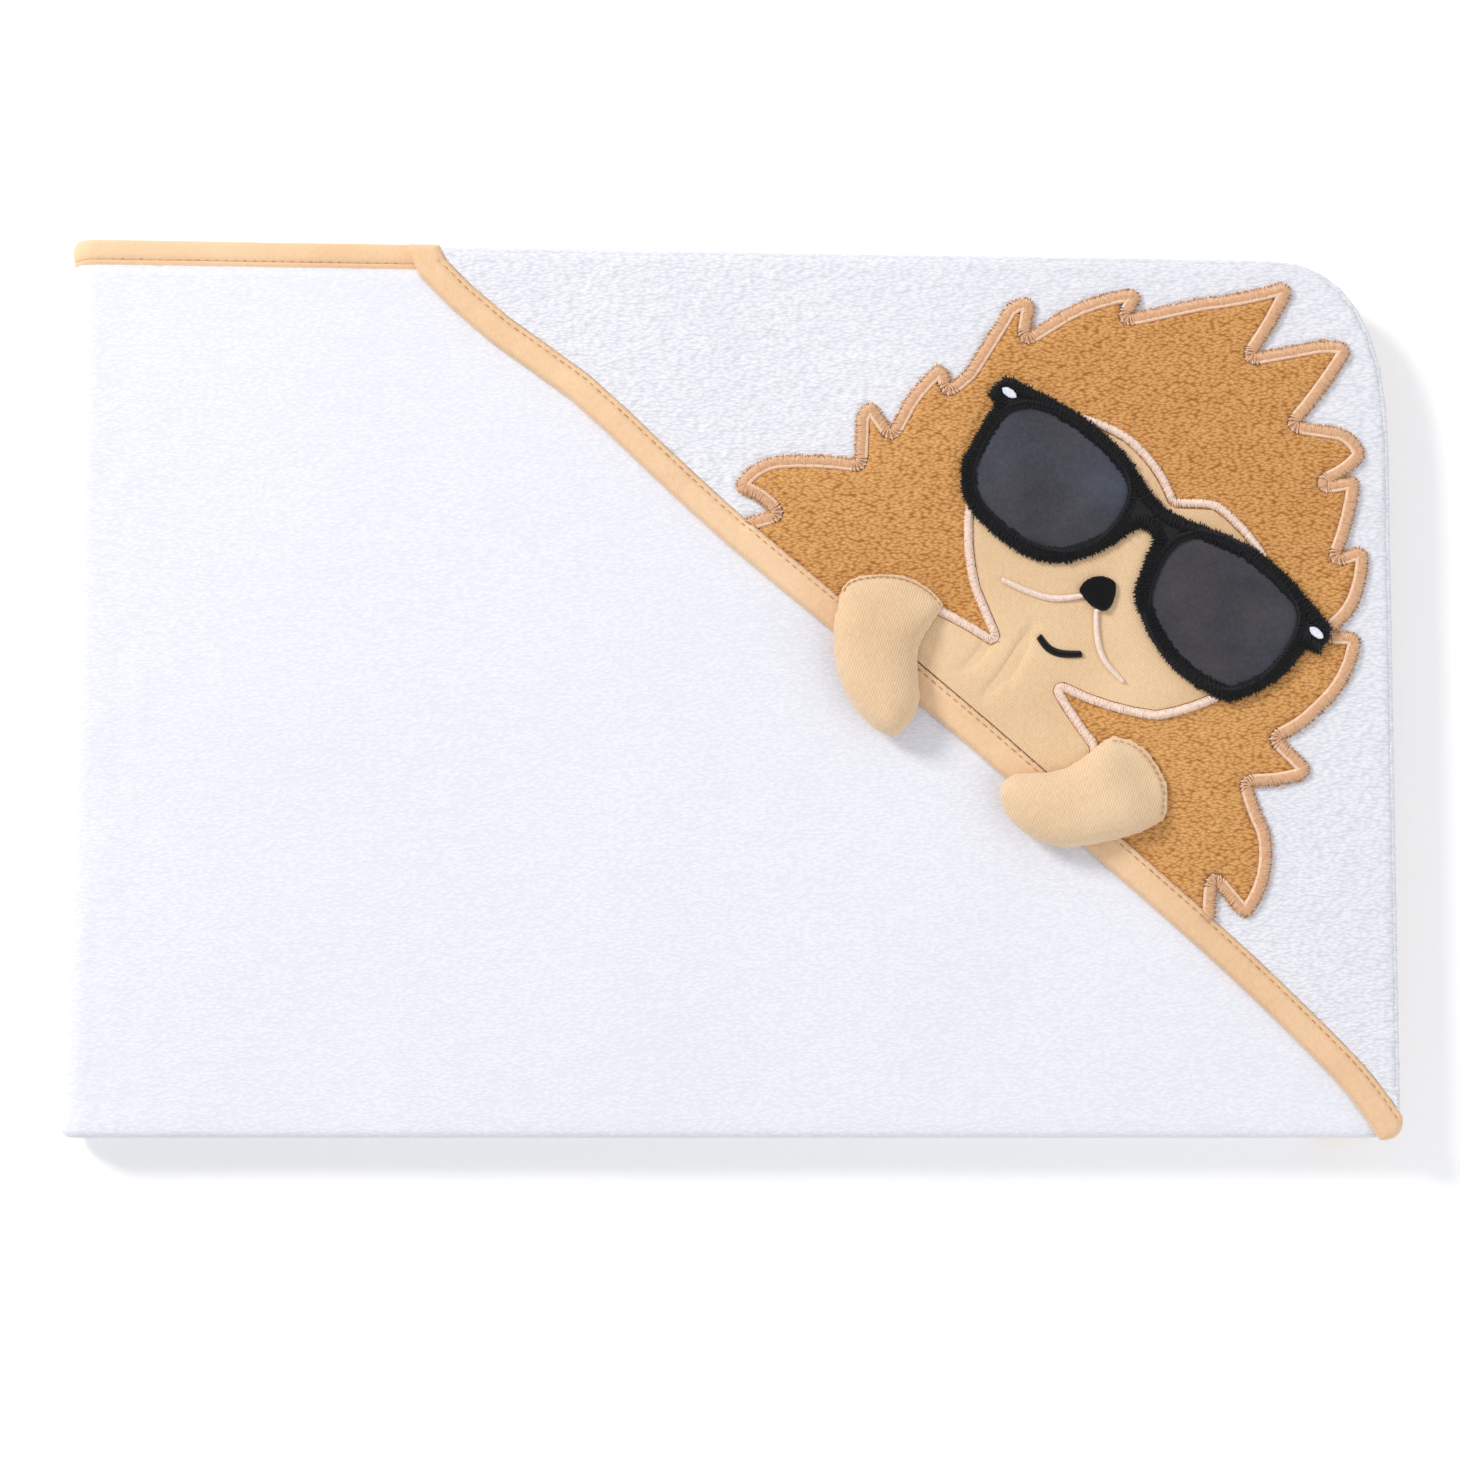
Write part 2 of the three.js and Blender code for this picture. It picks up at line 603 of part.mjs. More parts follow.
// Nose, mouth and the two lines from the nose, embroidered on the face.
const nose = smooth(
  [
    [-99.5, -113], [-97.5, -110], [-93, -108.5], [-88.5, -110], [-88, -113.5],
    [-89.5, -118], [-92, -119.5], [-96, -117.5], [-99.5, -113],
  ],
  20,
).slice(0, -1);
const noseCut = cutPlate(nose).add(cutBand(nose, 2 * gap, true));
addPiece(upperHalf, "nose", plate(nose, featureBottom, featureBottom + noseHeight), "blackSatin");
const embroider = (rows, width, height) =>
  plate(ribbon(smooth(rows, 8), width), featureBottom, featureBottom + height);
addPiece(
  upperHalf,
  "mouth",
  embroider([[-112, -127.5], [-109, -131.5], [-104.5, -133], [-99, -133]], mouthWidth, mouthHeight),
  "blackSatin",
);
const cheekLines = {
  left: [[-123.5, -109.5], [-116, -113], [-107.5, -115.5], [-98, -114.5]],
  right: [[-94, -117], [-94, -126.5], [-92, -134.5], [-86, -141.5]],
};
for (const [side, rows] of Object.entries(cheekLines)) {
  const line = embroider(rows, cheekLineWidth, cheekLineHeight).subtract(noseCut);
  addPiece(upperHalf, `cheek_line_${side}`, line, "creamSatin");
}

// The paws: jersey front and back round a filling. The flat edge is sewn down, the rest lifts at its chord.
const insetRim = (paw, inset) =>
  paw.outline.map((point) => paw.middle.clone().lerp(point, 1 - inset / paw.width));
function pillow(paw, inset, low, high) {
  const dome = new THREE.SphereGeometry(1, 20, 12)
    .rotateX(Math.PI / 2)
    .scale(paw.length - inset, paw.width - inset, pawHeight - inset)
    .rotateZ(paw.turned)
    .translate(paw.middle.x, paw.middle.y, pawBottom);
  return plate(insetRim(paw, inset), low, high)
    .intersect(solid(dome))
    .intersect(cutPlate(beyondChord(paw.chord, -1, gap / 2 + inset)));
}
paws.forEach((paw, i) => {
  const backTop = pawBottom + pawFabric;
  const wall = pawFabric + gap;
  const back = pillow(paw, 0, pawBottom, backTop);
  const room = pillow(paw, pawFabric, under, backTop + pawHeight);
  const front = pillow(paw, 0, backTop + gap, pawBottom + pawHeight).subtract(room);
  const filling = pillow(paw, wall, backTop + gap, pawBottom + pawHeight);
  addPiece(paw.parent, `${paw.name}_back`, back, "paleJersey");
  addPiece(paw.parent, `${paw.name}_front`, front, "paleJersey");
  addPiece(paw.parent, `${paw.name}_filling`, filling, "fibre");
  addPiece(upperHalf, `${paw.name}_sewn_edge`, tabs[i], "paleJersey");
  const row = insetRim(paw, stitchInset).filter((point) => distanceBeyond(point, paw.chord) > threadWidth);
  const stitches = plate(ribbon(row, threadWidth), tabTop + gap, tabTop + gap + threadHeight);
  addPiece(upperHalf, `${paw.name}_stitching`, stitches, "tanThread");
});

export default group;
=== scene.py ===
import json
import math

import bmesh
import bpy
import numpy as np
from mathutils import Matrix, Vector, noise


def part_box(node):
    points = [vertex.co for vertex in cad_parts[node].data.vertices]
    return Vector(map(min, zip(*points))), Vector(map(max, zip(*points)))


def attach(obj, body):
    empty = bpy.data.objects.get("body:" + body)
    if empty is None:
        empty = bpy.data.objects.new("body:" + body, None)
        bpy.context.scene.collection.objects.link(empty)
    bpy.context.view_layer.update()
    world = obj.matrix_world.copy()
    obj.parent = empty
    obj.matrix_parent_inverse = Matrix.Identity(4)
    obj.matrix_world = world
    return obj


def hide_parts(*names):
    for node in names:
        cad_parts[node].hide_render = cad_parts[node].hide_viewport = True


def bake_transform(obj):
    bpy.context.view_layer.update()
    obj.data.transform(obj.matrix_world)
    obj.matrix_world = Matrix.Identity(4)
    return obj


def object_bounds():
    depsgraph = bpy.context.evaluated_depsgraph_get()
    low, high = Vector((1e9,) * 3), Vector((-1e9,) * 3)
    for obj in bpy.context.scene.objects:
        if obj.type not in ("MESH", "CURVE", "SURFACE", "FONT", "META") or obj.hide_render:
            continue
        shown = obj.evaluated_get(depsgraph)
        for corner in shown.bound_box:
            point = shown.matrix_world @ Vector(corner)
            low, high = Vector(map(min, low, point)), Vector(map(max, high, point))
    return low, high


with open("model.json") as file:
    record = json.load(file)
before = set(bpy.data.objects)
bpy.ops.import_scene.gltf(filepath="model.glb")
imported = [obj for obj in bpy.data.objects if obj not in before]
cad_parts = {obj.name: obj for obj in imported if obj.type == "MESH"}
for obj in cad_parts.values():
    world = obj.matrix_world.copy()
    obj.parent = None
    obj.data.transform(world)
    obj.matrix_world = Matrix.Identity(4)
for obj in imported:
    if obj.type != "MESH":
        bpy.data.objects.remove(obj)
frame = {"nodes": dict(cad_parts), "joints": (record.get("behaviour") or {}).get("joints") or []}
cad_low, cad_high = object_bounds()
mm = 0.001


# The floor, the light and the camera. The towel lies folded on a plain pale floor, lit softly from the
# upper left, and is seen from almost straight above through a long lens.
def srgb(red, green, blue):
    """A colour given as a screen shows it, 0 to 255, as the shader's linear values."""
    return tuple((part / 255) ** 2.2 for part in (red, green, blue)) + (1.0,)


def add_light(name, place, aim, size, watts, colour):
    lamp = bpy.data.lights.new(name, "AREA")
    lamp.shape = "DISK"
    lamp.size = size
    lamp.energy = watts
    lamp.color = colour
    holder = bpy.data.objects.new(name, lamp)
    holder.location = place
    holder.rotation_euler = (Vector(aim) - Vector(place)).to_track_quat("-Z", "Y").to_euler()
    bpy.context.scene.collection.objects.link(holder)


floor_shape = bmesh.new()
bmesh.ops.create_grid(floor_shape, x_segments=1, y_segments=1, size=3.0)
floor_mesh = bpy.data.meshes.new("floor")
floor_shape.to_mesh(floor_mesh)
floor = bpy.data.objects.new("floor", floor_mesh)
bpy.context.scene.collection.objects.link(floor)
floor_paint = bpy.data.materials.new("pale_floor")
floor_paint.use_nodes = True
floor_look = {
    "Base Color": (0.96, 0.96, 0.965, 1),
    "Roughness": 0.8,
    "Emission Color": (1, 1, 1, 1),
    "Emission Strength": 0.12,
}
for socket, value in floor_look.items():
    floor_paint.node_tree.nodes["Principled BSDF"].inputs[socket].default_value = value
floor_mesh.materials.append(floor_paint)

sky = bpy.data.worlds.new("studio")
sky.use_nodes = True
sky_light = sky.node_tree.nodes["Background"].inputs
sky_light["Color"].default_value = (0.97, 0.98, 1.0, 1)
sky_light["Strength"].default_value = 0.66
bpy.context.scene.world = sky
bpy.context.scene.view_settings.view_transform = "Standard"
add_light("key", (-1.35, 1.0, 1.25), (0.03, 0, 0), 0.6, 27.0, (1.0, 0.985, 0.96))
add_light("fill", (0.9, -0.5, 0.9), (0, 0, 0), 1.2, 3.5, (0.95, 0.97, 1.0))

look_at = Vector((0.0005, -0.00185, cad_low.z + 0.018))
camera_tilt = math.radians(4.8)
camera_distance = 1.0
lens_data = bpy.data.cameras.new("camera")
lens_data.lens = 78.3
lens_data.sensor_width = 36.0
lens_data.shift_y = -0.0274
camera = bpy.data.objects.new("camera", lens_data)
away = Vector((0, -math.sin(camera_tilt), math.cos(camera_tilt)))
camera.location = look_at + away * camera_distance
camera.rotation_euler = away.to_track_quat("Z", "Y").to_euler()
bpy.context.scene.collection.objects.link(camera)
bpy.context.scene.camera = camera


# The towel: one square of white looped terry. It is folded in three like a letter, then in half at the
# left edge, so that six layers lie on each other. The grid is the flat square, and fold() lays it down.
class Measure:
    """A number that varies over a surface. Arithmetic on it adds Math nodes to its fabric."""

    def __init__(self, fabric, socket):
        self.fabric = fabric
        self.socket = socket

    def __add__(self, other):
        return self.fabric.math("ADD", self, other)

    def __sub__(self, other):
        return self.fabric.math("SUBTRACT", self, other)

    def __rsub__(self, other):
        return self.fabric.math("SUBTRACT", other, self)

    def __mul__(self, other):
        return self.fabric.math("MULTIPLY", self, other)

    __radd__ = __add__
    __rmul__ = __mul__


class Fabric:
    """The material of a cloth or thread, with the patterns that its nodes draw in Object coordinates."""

    def __init__(self, name, roughness, sheen=0.3, specular=0.3):
        self.material = bpy.data.materials.new(name)
        self.material.use_nodes = True
        self.tree = self.material.node_tree
        self.shader = self.tree.nodes["Principled BSDF"]
        self.shader.inputs["Roughness"].default_value = roughness
        self.shader.inputs["Sheen Weight"].default_value = sheen
        self.shader.inputs["Sheen Roughness"].default_value = 0.5
        self.shader.inputs["Specular IOR Level"].default_value = specular
        self.place = self.node("ShaderNodeTexCoord", {}, {}).outputs["Object"]

    def node(self, kind, settings, values):
        """A new node, with its settings made first and then its sockets' values or links."""
        made = self.tree.nodes.new(kind)
        for key, value in settings.items():
            setattr(made, key, value)
        for key, value in values.items():
            if isinstance(value, Measure):
                value = value.socket
            if isinstance(value, bpy.types.NodeSocket):
                self.tree.links.new(value, made.inputs[key])
            else:
                made.inputs[key].default_value = value
        return made

    def math(self, operation, first, second):
        made = self.node("ShaderNodeMath", {"operation": operation}, {0: first, 1: second})
        return Measure(self, made.outputs[0])

    def stretched(self, scale, turn):
        """Object coordinates turned about Z and scaled, to cycles per metre."""
        values = {"Vector": self.place, "Rotation": (0, 0, turn), "Scale": scale}
        return self.node("ShaderNodeMapping", {"vector_type": "POINT"}, values).outputs[0]

    def cloud(self, scale, detail=2.0, turn=0.0, roughness=0.5):
        """Soft noise from 0 to 1, with scale clouds to the metre along each axis."""
        place = self.stretched(scale, turn)
        values = {"Vector": place, "Scale": 1.0, "Detail": detail, "Roughness": roughness}
        return Measure(self, self.node("ShaderNodeTexNoise", {}, values).outputs["Fac"])

    def loops(self, scale, turn, laid):
        """Rounded heads of pile loops, 1 at a head and falling away from it."""
        values = {"Vector": self.stretched(scale, turn), "Scale": 1.0}
        made = self.node("ShaderNodeTexVoronoi", {"feature": "F1", "voronoi_dimensions": laid}, values)
        return 1 - Measure(self, made.outputs["Distance"])

    def ribs(self, pitch, angle):
        """Even ribs that run across the direction angle, from 0 to 1."""
        apart = self.node("ShaderNodeSeparateXYZ", {}, {0: self.stretched((1, 1, 1), angle)})
        run = Measure(self, apart.outputs["X"]) * (2 * math.pi / pitch)
        return self.math("SINE", run, 0.0) * 0.5 + 0.5

    def range(self, value, low, high):
        values = {"Value": value, "From Min": low, "From Max": high}
        return Measure(self, self.node("ShaderNodeMapRange", {"clamp": True}, values).outputs[0])

    def mix(self, factor, first, second):
        values = {"Factor": factor, 6: first, 7: second}
        return self.node("ShaderNodeMix", {"data_type": "RGBA"}, values).outputs[2]

    def finish(self, colour, height, distance, strength):
        """Gives the cloth its colour and its fine relief, distance deep."""
        self.tree.links.new(colour, self.shader.inputs["Base Color"])
        values = {"Height": height, "Distance": distance, "Strength": strength}
        bump = self.node("ShaderNodeBump", {}, values)
        self.tree.links.new(bump.outputs[0], self.shader.inputs["Normal"])
        return self.material


def terry(name, light, dark, loop, stretch, turn, depth, strength, laid="3D", contrast=(0.62, 1.12)):
    """Looped pile: heads of about loop metres, longer by stretch across the direction turn, with painted
    shade between them.
    """
    fabric = Fabric(name, roughness=0.95, sheen=0.25, specular=0.12)
    heads = fabric.loops((1 / (loop * stretch), 1 / loop, 1 / loop), turn, laid)
    fine = fabric.cloud((2.4 / (loop * stretch), 2.4 / loop, 2.4 / loop), 3.0, turn, 0.6)
    tufts = fabric.cloud((0.22 / (loop * stretch), 0.3 / loop, 0.3 / loop), 2.0, turn)
    patches = fabric.cloud((11, 11, 11), 2.0)
    pile = heads * 0.55 + fine * 0.45 + tufts * 0.5
    # Painted shade: the colour goes from light on the loop heads to dark in the gaps between them, where
    # shade falls. The patches add tone that differs at random.
    painted_pit_shade_and_tone = fabric.range(heads * 0.6 + fine * 0.4 + tufts * 0.25 + patches * 0.2, *contrast)
    return fabric.finish(fabric.mix(painted_pit_shade_and_tone, dark, light), pile, depth, strength)


def piece_of(shape, name, material):
    """Makes a finished piece of a bmesh, at the origin, smooth but for its sharp edges."""
    mesh = bpy.data.meshes.new(name)
    shape.to_mesh(mesh)
    shape.free()
    mesh.materials.append(material)
    mesh.shade_smooth()
    mesh.set_sharp_from_angle(angle=math.radians(70))
    made = bpy.data.objects.new(name, mesh)
    bpy.context.scene.collection.objects.link(made)
    return made


def read_points(mesh):
    points = np.zeros((len(mesh.vertices), 3), np.float32)
    mesh.vertices.foreach_get("co", points.ravel())
    return points.astype(float)


def write_points(mesh, points):
    mesh.vertices.foreach_set("co", np.asarray(points, np.float32).ravel())
    mesh.update()


def clouds(x, y, size, seed, stretch=1.0):
    """Smooth noise from about -1 to 1, in clumps of about size, longer by stretch along X."""
    across = 1 / (size * stretch)
    along = 1 / size
    return np.array([noise.noise((a * across, b * along, seed)) for a, b in zip(x, y)])


def settle(x, y):
    """How far the soft stack's upper side swells or dips at a place."""
    rippled = 60 * mm
    near_fold = np.clip((rippled - (x - cad_low.x)) / rippled, 0, 1)
    ripples = 0.35 * mm * clouds(x, y, 16 * mm, 3.7, 0.45) * near_fold
    return 0.8 * mm * clouds(x, y, 55 * mm, 8.1) + ripples


hood_low, hood_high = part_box("hood_panel")
upper_low, upper_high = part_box("towel_upper_half")
lower_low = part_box("towel_lower_half")[0]
strip_low, strip_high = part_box("binding_top_upper")
under_low, under_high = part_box("binding_top_lower")
end_low, end_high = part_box("binding_end_upper")
side_low, side_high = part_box("binding_side_upper")
seam_low, seam_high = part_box("hood_seam")
cloth = hood_high.z - hood_low.z
layers = 6
pitch = hood_low.z / layers
gap = pitch - cloth
fold_middle = next(j for j in frame["joints"] if j["name"] == "half_fold")["pos_m"][2]
fold_left = upper_low.x
turn_centre = fold_left + 3 * pitch - gap
top_slope = (strip_high.y - seam_high.y) / (seam_low.x - strip_low.x)
strip_width = 7 * mm
stitches_in = 1.6 * mm
lower_slide = 70 * mm
turn_starts = 0.88
lowest_fold = lower_low.y + pitch / 2 + cloth / 2
highest_fold = under_high.y - pitch / 2 - cloth / 2
layer_level = [2.5 * pitch, 1.5 * pitch, 0.5 * pitch]


def top_edge(x):
    return strip_high.y - top_slope * (x - strip_low.x)


def outlines(node):
    """The closed outlines, in plan, of the upper face of a CAD plate."""
    shape = bmesh.new()
    shape.from_mesh(frame["nodes"][node].data)
    bmesh.ops.remove_doubles(shape, verts=shape.verts, dist=2e-6)
    shape.normal_update()
    follow = {}
    for edge in shape.edges:
        if sum(face.normal.z > 0.9 for face in edge.link_faces) == 1:
            first, second = edge.verts
            follow.setdefault(first, []).append(second)
            follow.setdefault(second, []).append(first)
    loops = []
    while follow:
        here = next(iter(follow))
        loop = []
        while here is not None:
            loop.append(here.co.xy[:])
            beyond = follow.pop(here)
            here = next((v for v in beyond if v in follow), None)
        loops.append(np.array(loop))
    shape.free()
    return loops


def to_edge(points, loops):
    """For points in plan: how far inside the outlines they lie, below 0 outside, and the nearest place on
    the outlines."""
    starts = np.concatenate(loops)
    ends = np.concatenate([np.roll(loop, -1, 0) for loop in loops])
    run = ends - starts
    length = np.maximum((run * run).sum(1), 1e-18)
    distance = np.zeros(len(points))
    nearest = np.zeros((len(points), 2))
    batch = 4000
    for first in range(0, len(points), batch):
        some = points[first : first + batch]
        offset = some[:, None] - starts
        share = np.clip((offset * run).sum(2) / length, 0, 1)
        place = starts + run * share[:, :, None]
        far = np.hypot(some[:, None, 0] - place[:, :, 0], some[:, None, 1] - place[:, :, 1])
        best = far.argmin(1)
        rows = np.arange(len(some))
        above = (starts[:, 1] > some[:, None, 1]) != (ends[:, 1] > some[:, None, 1])
        rise = np.where(np.abs(run[:, 1]) < 1e-12, 1e-12, run[:, 1])
        crossing = starts[:, 0] + run[:, 0] * (some[:, None, 1] - starts[:, 1]) / rise
        inside = (above & (some[:, None, 0] < crossing)).sum(1) % 2 == 1
        distance[first : first + batch] = np.where(inside, 1, -1) * far[rows, best]
        nearest[first : first + batch] = place[rows, best]
    return distance, nearest


def outer_chain(node, other, apart):
    """The stretch of a CAD plate's outline that keeps more than apart from another plate, as a path."""
    loop = max(outlines(node), key=len)
    far = -to_edge(loop, outlines(other))[0] > apart
    first = next(i for i in range(len(loop)) if far[i] and not far[i - 1])
    loop = np.roll(loop, -first, 0)
    far = np.roll(far, -first)
    return loop[far]


def smoothstep(value):
    share = np.clip(value, 0, 1)
    return share * share * (3 - 2 * share)


seam_edge = outer_chain("hood_seam", "hood_panel", 1.0 * mm)
seam_edge = seam_edge[np.argsort(seam_edge[:, 1])]


def side_end(y):
    """How far right the top layer reaches at a height y on the packet."""
    return np.interp(y, seam_edge[:, 1], seam_edge[:, 0]) - 0.6 * mm


def zigzag(x, down, first_top):
    """The height on the packet and the distance from the half fold's middle, for cloth folded in three.
    down runs from 0 at the top edge to 3 at the free edge, and the first two thirds end in a turn."""
    third = np.minimum(down.astype(int), 2)
    share = down - third
    turning = np.where(third < 2, np.clip((share - turn_starts) / 0.12, 0, 1), 0)
    straight = np.where(third < 2, np.clip(share / turn_starts, 0, 1), share)
    upper_level = np.take(layer_level, third)
    middle = (upper_level + np.take(layer_level, np.minimum(third + 1, 2))) / 2
    angle = turning * math.pi
    level = np.where(turning > 0, middle + pitch / 2 * np.cos(angle), upper_level)
    bulge = pitch / 2 * np.sin(angle) * np.where(third == 0, -1, 1)
    bottom = np.full_like(x, lowest_fold)
    ridge = np.full_like(x, highest_fold)
    starts = np.choose(third, [first_top, bottom, ridge])
    stops = np.choose(third, [bottom, ridge, np.full_like(x, end_high.y + gap)])
    return starts + (stops - starts) * straight + bulge, level, third, turning


def half_turn(reach, end, y, level, upper, lift=0.0):
    """Lays cloth round the half fold: reach runs from 0 at the fold to 1 at x = end. lift thickens its
    outer side, but not where the lower half lies on the floor. The halves stay a little apart."""
    on_floor = smoothstep(reach * 30)
    radius = level + lift * np.where(upper, 1, 1 - on_floor)
    arc = radius * math.pi / 2
    run = reach * (end - turn_centre + arc)
    bend = np.clip(run / radius, 0, math.pi / 2)
    x = turn_centre - radius * np.cos(bend) + np.maximum(run - arc, 0)
    apart = 0.2 * mm * np.clip(reach * 400, 0, 1)
    height = np.maximum(radius * np.sin(bend), apart)
    z = fold_middle + np.where(upper, 1, -1) * height
    softness = np.clip(height / layer_level[0], 0, 1) ** 2 * np.where(upper, 1, 0)
    return np.stack([x, y, z + settle(x, y) * softness], axis=1)


def fold(across, down):
    """Lays the towel's flat square down. across runs from -1 at the lower half's end, by 0 at the half
    fold, to 1."""
    upper = across > 0
    reach = np.abs(across)
    hidden_end = side_low.x - gap
    end = np.where((down < turn_starts) & upper, upper_high.x, hidden_end)
    x = fold_left + reach * (end - fold_left)
    # Where a row ends depends on its height, and its height on where it ends, so both are worked out twice.
    for _ in range(2):
        bound = top_edge(x) - strip_width - gap
        sewn = top_edge(x) - 1.5 * mm
        upper_top = bound + (sewn - bound) * smoothstep((x - seam_low.x) / (9 * mm))
        lower_top = bound + (under_low.y - gap - bound) * smoothstep((x - fold_left) / lower_slide)
        first_top = np.where(upper, upper_top, lower_top)
        y, level, third, turning = zigzag(x, down, first_top)
        sewn_end = side_end(y) + (hidden_end - side_end(y)) * smoothstep(turning)
        end = np.where((third == 0) & upper, sewn_end, hidden_end)
        x = fold_left + reach * (end - fold_left)
    return half_turn(reach, end, y, level, upper)


def give_thickness(sheet, thickness):
    wall = sheet.modifiers.new("cloth", "SOLIDIFY")
    wall.thickness = thickness
    wall.offset = 0


def crowded(centred, least):
    """Shares from -1 to 1, crowded towards 0, where the cloth turns round the half fold."""
    share = centred * (least + (1 - least) * centred ** 2)
    return np.where(np.abs(share) < 1e-6, 1e-6, share)


towel_terry = terry(
    "white_towel_terry", srgb(244, 244, 249), srgb(228, 229, 238),
    loop=0.8 * mm, stretch=2.4, turn=0.03, depth=0.4 * mm, strength=0.5,
)
half_columns = 110
row_marks = np.cumsum([0, 90, 8, 18, 8, 18])
row_count = row_marks[-1]
towel_shape = bmesh.new()
bmesh.ops.create_grid(towel_shape, x_segments=2 * half_columns, y_segments=int(row_count), size=1.0)
towel = piece_of(towel_shape, "folded_towel", towel_terry)
flat = read_points(towel.data)
row = np.round((1 - flat[:, 1]) / 2 * row_count)
down = np.interp(row, row_marks, [0, turn_starts, 1, 1 + turn_starts, 2, 3])
write_points(towel.data, fold(crowded(flat[:, 0], 0.25), down))
give_thickness(towel, cloth * 0.96)
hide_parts("towel_upper_half", "towel_lower_half")
half_fold_start = (fold_left, 0, fold_middle - gap / 2)
half_fold_end = (fold_left, 0, fold_middle + gap / 2)
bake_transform(towel)


# The edge tape: a strip of peach brushed jersey folded over the towel's raw edge on all four sides. It is
# folded with the towel, so only its run along the top edge shows, with a row of straight stitches.
def jersey(name, light, dark, angle, rib, depth, fuzz=0.35):
    """Fine brushed knit: ribs of thread at an angle, with soft fuzz over them."""
    fabric = Fabric(name, roughness=0.88, sheen=fuzz, specular=0.2)
    slant = fabric.ribs(rib, angle)
    wales = fabric.cloud((1 / (rib * 1.1), 1 / (rib * 2.4), 1 / rib), 2.0, angle, 0.6)
    grain = fabric.cloud((1500, 1500, 1500), 2.0)
    patches = fabric.cloud((26, 26, 26), 2.0)
    height = slant * 0.35 + wales * 0.5 + grain * 0.3
    shade = fabric.range(height * 0.7 + patches * 0.6, 0.42, 0.98)
    return fabric.finish(fabric.mix(shade, dark, light), height, depth, 0.7)


def thread(name, light, dark, roughness, sheen=0.2, specular=0.4):
    """Sewing or embroidery thread: a slight change of colour from stitch to stitch."""
    fabric = Fabric(name, roughness=roughness, sheen=sheen, specular=specular)
    shade = fabric.range(fabric.cloud((900, 900, 900), 2.0), 0.1, 0.8)
    plies = fabric.cloud((3500, 3500, 3500), 1.0)
    return fabric.finish(fabric.mix(shade, dark, light), plies, 0.05 * mm, 0.5)


one_stitch = bmesh.new()
bmesh.ops.create_cone(
    one_stitch, cap_ends=True, segments=4, radius1=1, radius2=1, depth=2,
    matrix=Matrix.Rotation(math.pi / 2, 4, "Y"),
)
for cut in (-0.8, -0.3, 0.3, 0.8):
    everything = one_stitch.verts[:] + one_stitch.edges[:] + one_stitch.faces[:]
    bmesh.ops.bisect_plane(one_stitch, geom=everything, plane_co=(cut, 0, 0), plane_no=(1, 0, 0))
straight_stitch = bpy.data.meshes.new("straight_stitch")
one_stitch.to_mesh(straight_stitch)
one_stitch.free()


def left_of(heading):
    return np.stack([-heading[:, 1], heading[:, 0]], axis=1)


def lay_threads(shape, spots, across, half, radius, base, arch, lean=0.0):
    """Adds threads to a bmesh: each is centred on a spot, runs half its length both ways along across,
    arches up by arch over the height base, and tapers a little at its ends."""
    count = len(spots)
    many = bmesh.new()
    for _ in range(count):
        many.from_mesh(straight_stitch)
    grown = bpy.data.meshes.new("threads")
    many.to_mesh(grown)
    many.free()
    half, radius, base, arch, lean = (
        np.broadcast_to(np.asarray(value, float), (count,))[:, None]
        for value in (half, radius, base, arch, lean)
    )
    run, side, rise = read_points(straight_stitch).T
    taper = 1 - 0.55 * run ** 4
    sideways = side * taper * radius + lean * run
    plan = spots[:, None] + across[:, None] * (half * run)[:, :, None]
    plan = (plan + left_of(across)[:, None] * sideways[:, :, None]).reshape(-1, 2)
    height = (base + arch * (1 - run ** 2) + rise * taper * radius).ravel()
    write_points(grown, np.column_stack([plan, height + settle(plan[:, 0], plan[:, 1])]))
    shape.from_mesh(grown)
    bpy.data.meshes.remove(grown)


def resample(path, spacing, closed=False):
    """Evenly spaced points along a path, and the unit direction of travel at each, eased round corners."""
    if closed:
        path = np.vstack([path, path[:1]])
    far = np.concatenate([[0], np.cumsum(np.hypot(*np.diff(path, axis=0).T))])
    count = max(2, int(round(far[-1] / spacing)) + (0 if closed else 1))
    at = np.linspace(0, far[-1], count, endpoint=not closed)

    def place(where):
        where = np.mod(where, far[-1]) if closed else np.clip(where, 0, far[-1])
        return np.stack([np.interp(where, far, path[:, k]) for k in (0, 1)], axis=1)

    ease = 1.3 * mm
    heading = place(at + ease) - place(at - ease)
    return place(at), heading / np.hypot(*heading.T)[:, None]


peach_tape = jersey(
    "peach_tape_jersey", srgb(246, 211, 172), srgb(222, 177, 134),
    angle=0.9, rib=0.6 * mm, depth=0.16 * mm,
)
tape_thread = thread("tape_thread", srgb(212, 158, 106), srgb(168, 116, 72), roughness=0.6)


def tape_grid(columns, rows):
    """A flat length of tape as a bmesh, and the shares of its points along X and Y, from 0 to 1."""
    shape = bmesh.new()
    bmesh.ops.create_grid(shape, x_segments=columns, y_segments=rows, size=1.0)
    return shape, (np.array([vert.co.xy for vert in shape.verts]) + 1) / 2


def put(shape, points):
    for vert, point in zip(shape.verts, points):
        vert.co = point


tape_shape = bmesh.new()
tape_run = bpy.data.meshes.new("tape_run")


def add_run(shape, points):
    """Adds a length of the folded tape, with its points laid where they go."""
    put(shape, points)
    shape.to_mesh(tape_run)
    shape.free()
    tape_shape.from_mesh(tape_run)


shape, share = tape_grid(240, 8)
across = crowded(2 * share[:, 0] - 1, 0.2)
y = end_low.y + share[:, 1] * (end_high.y - end_low.y)
add_run(shape, half_turn(np.abs(across), side_high.x, y, np.full_like(y, layer_level[2]), across > 0))

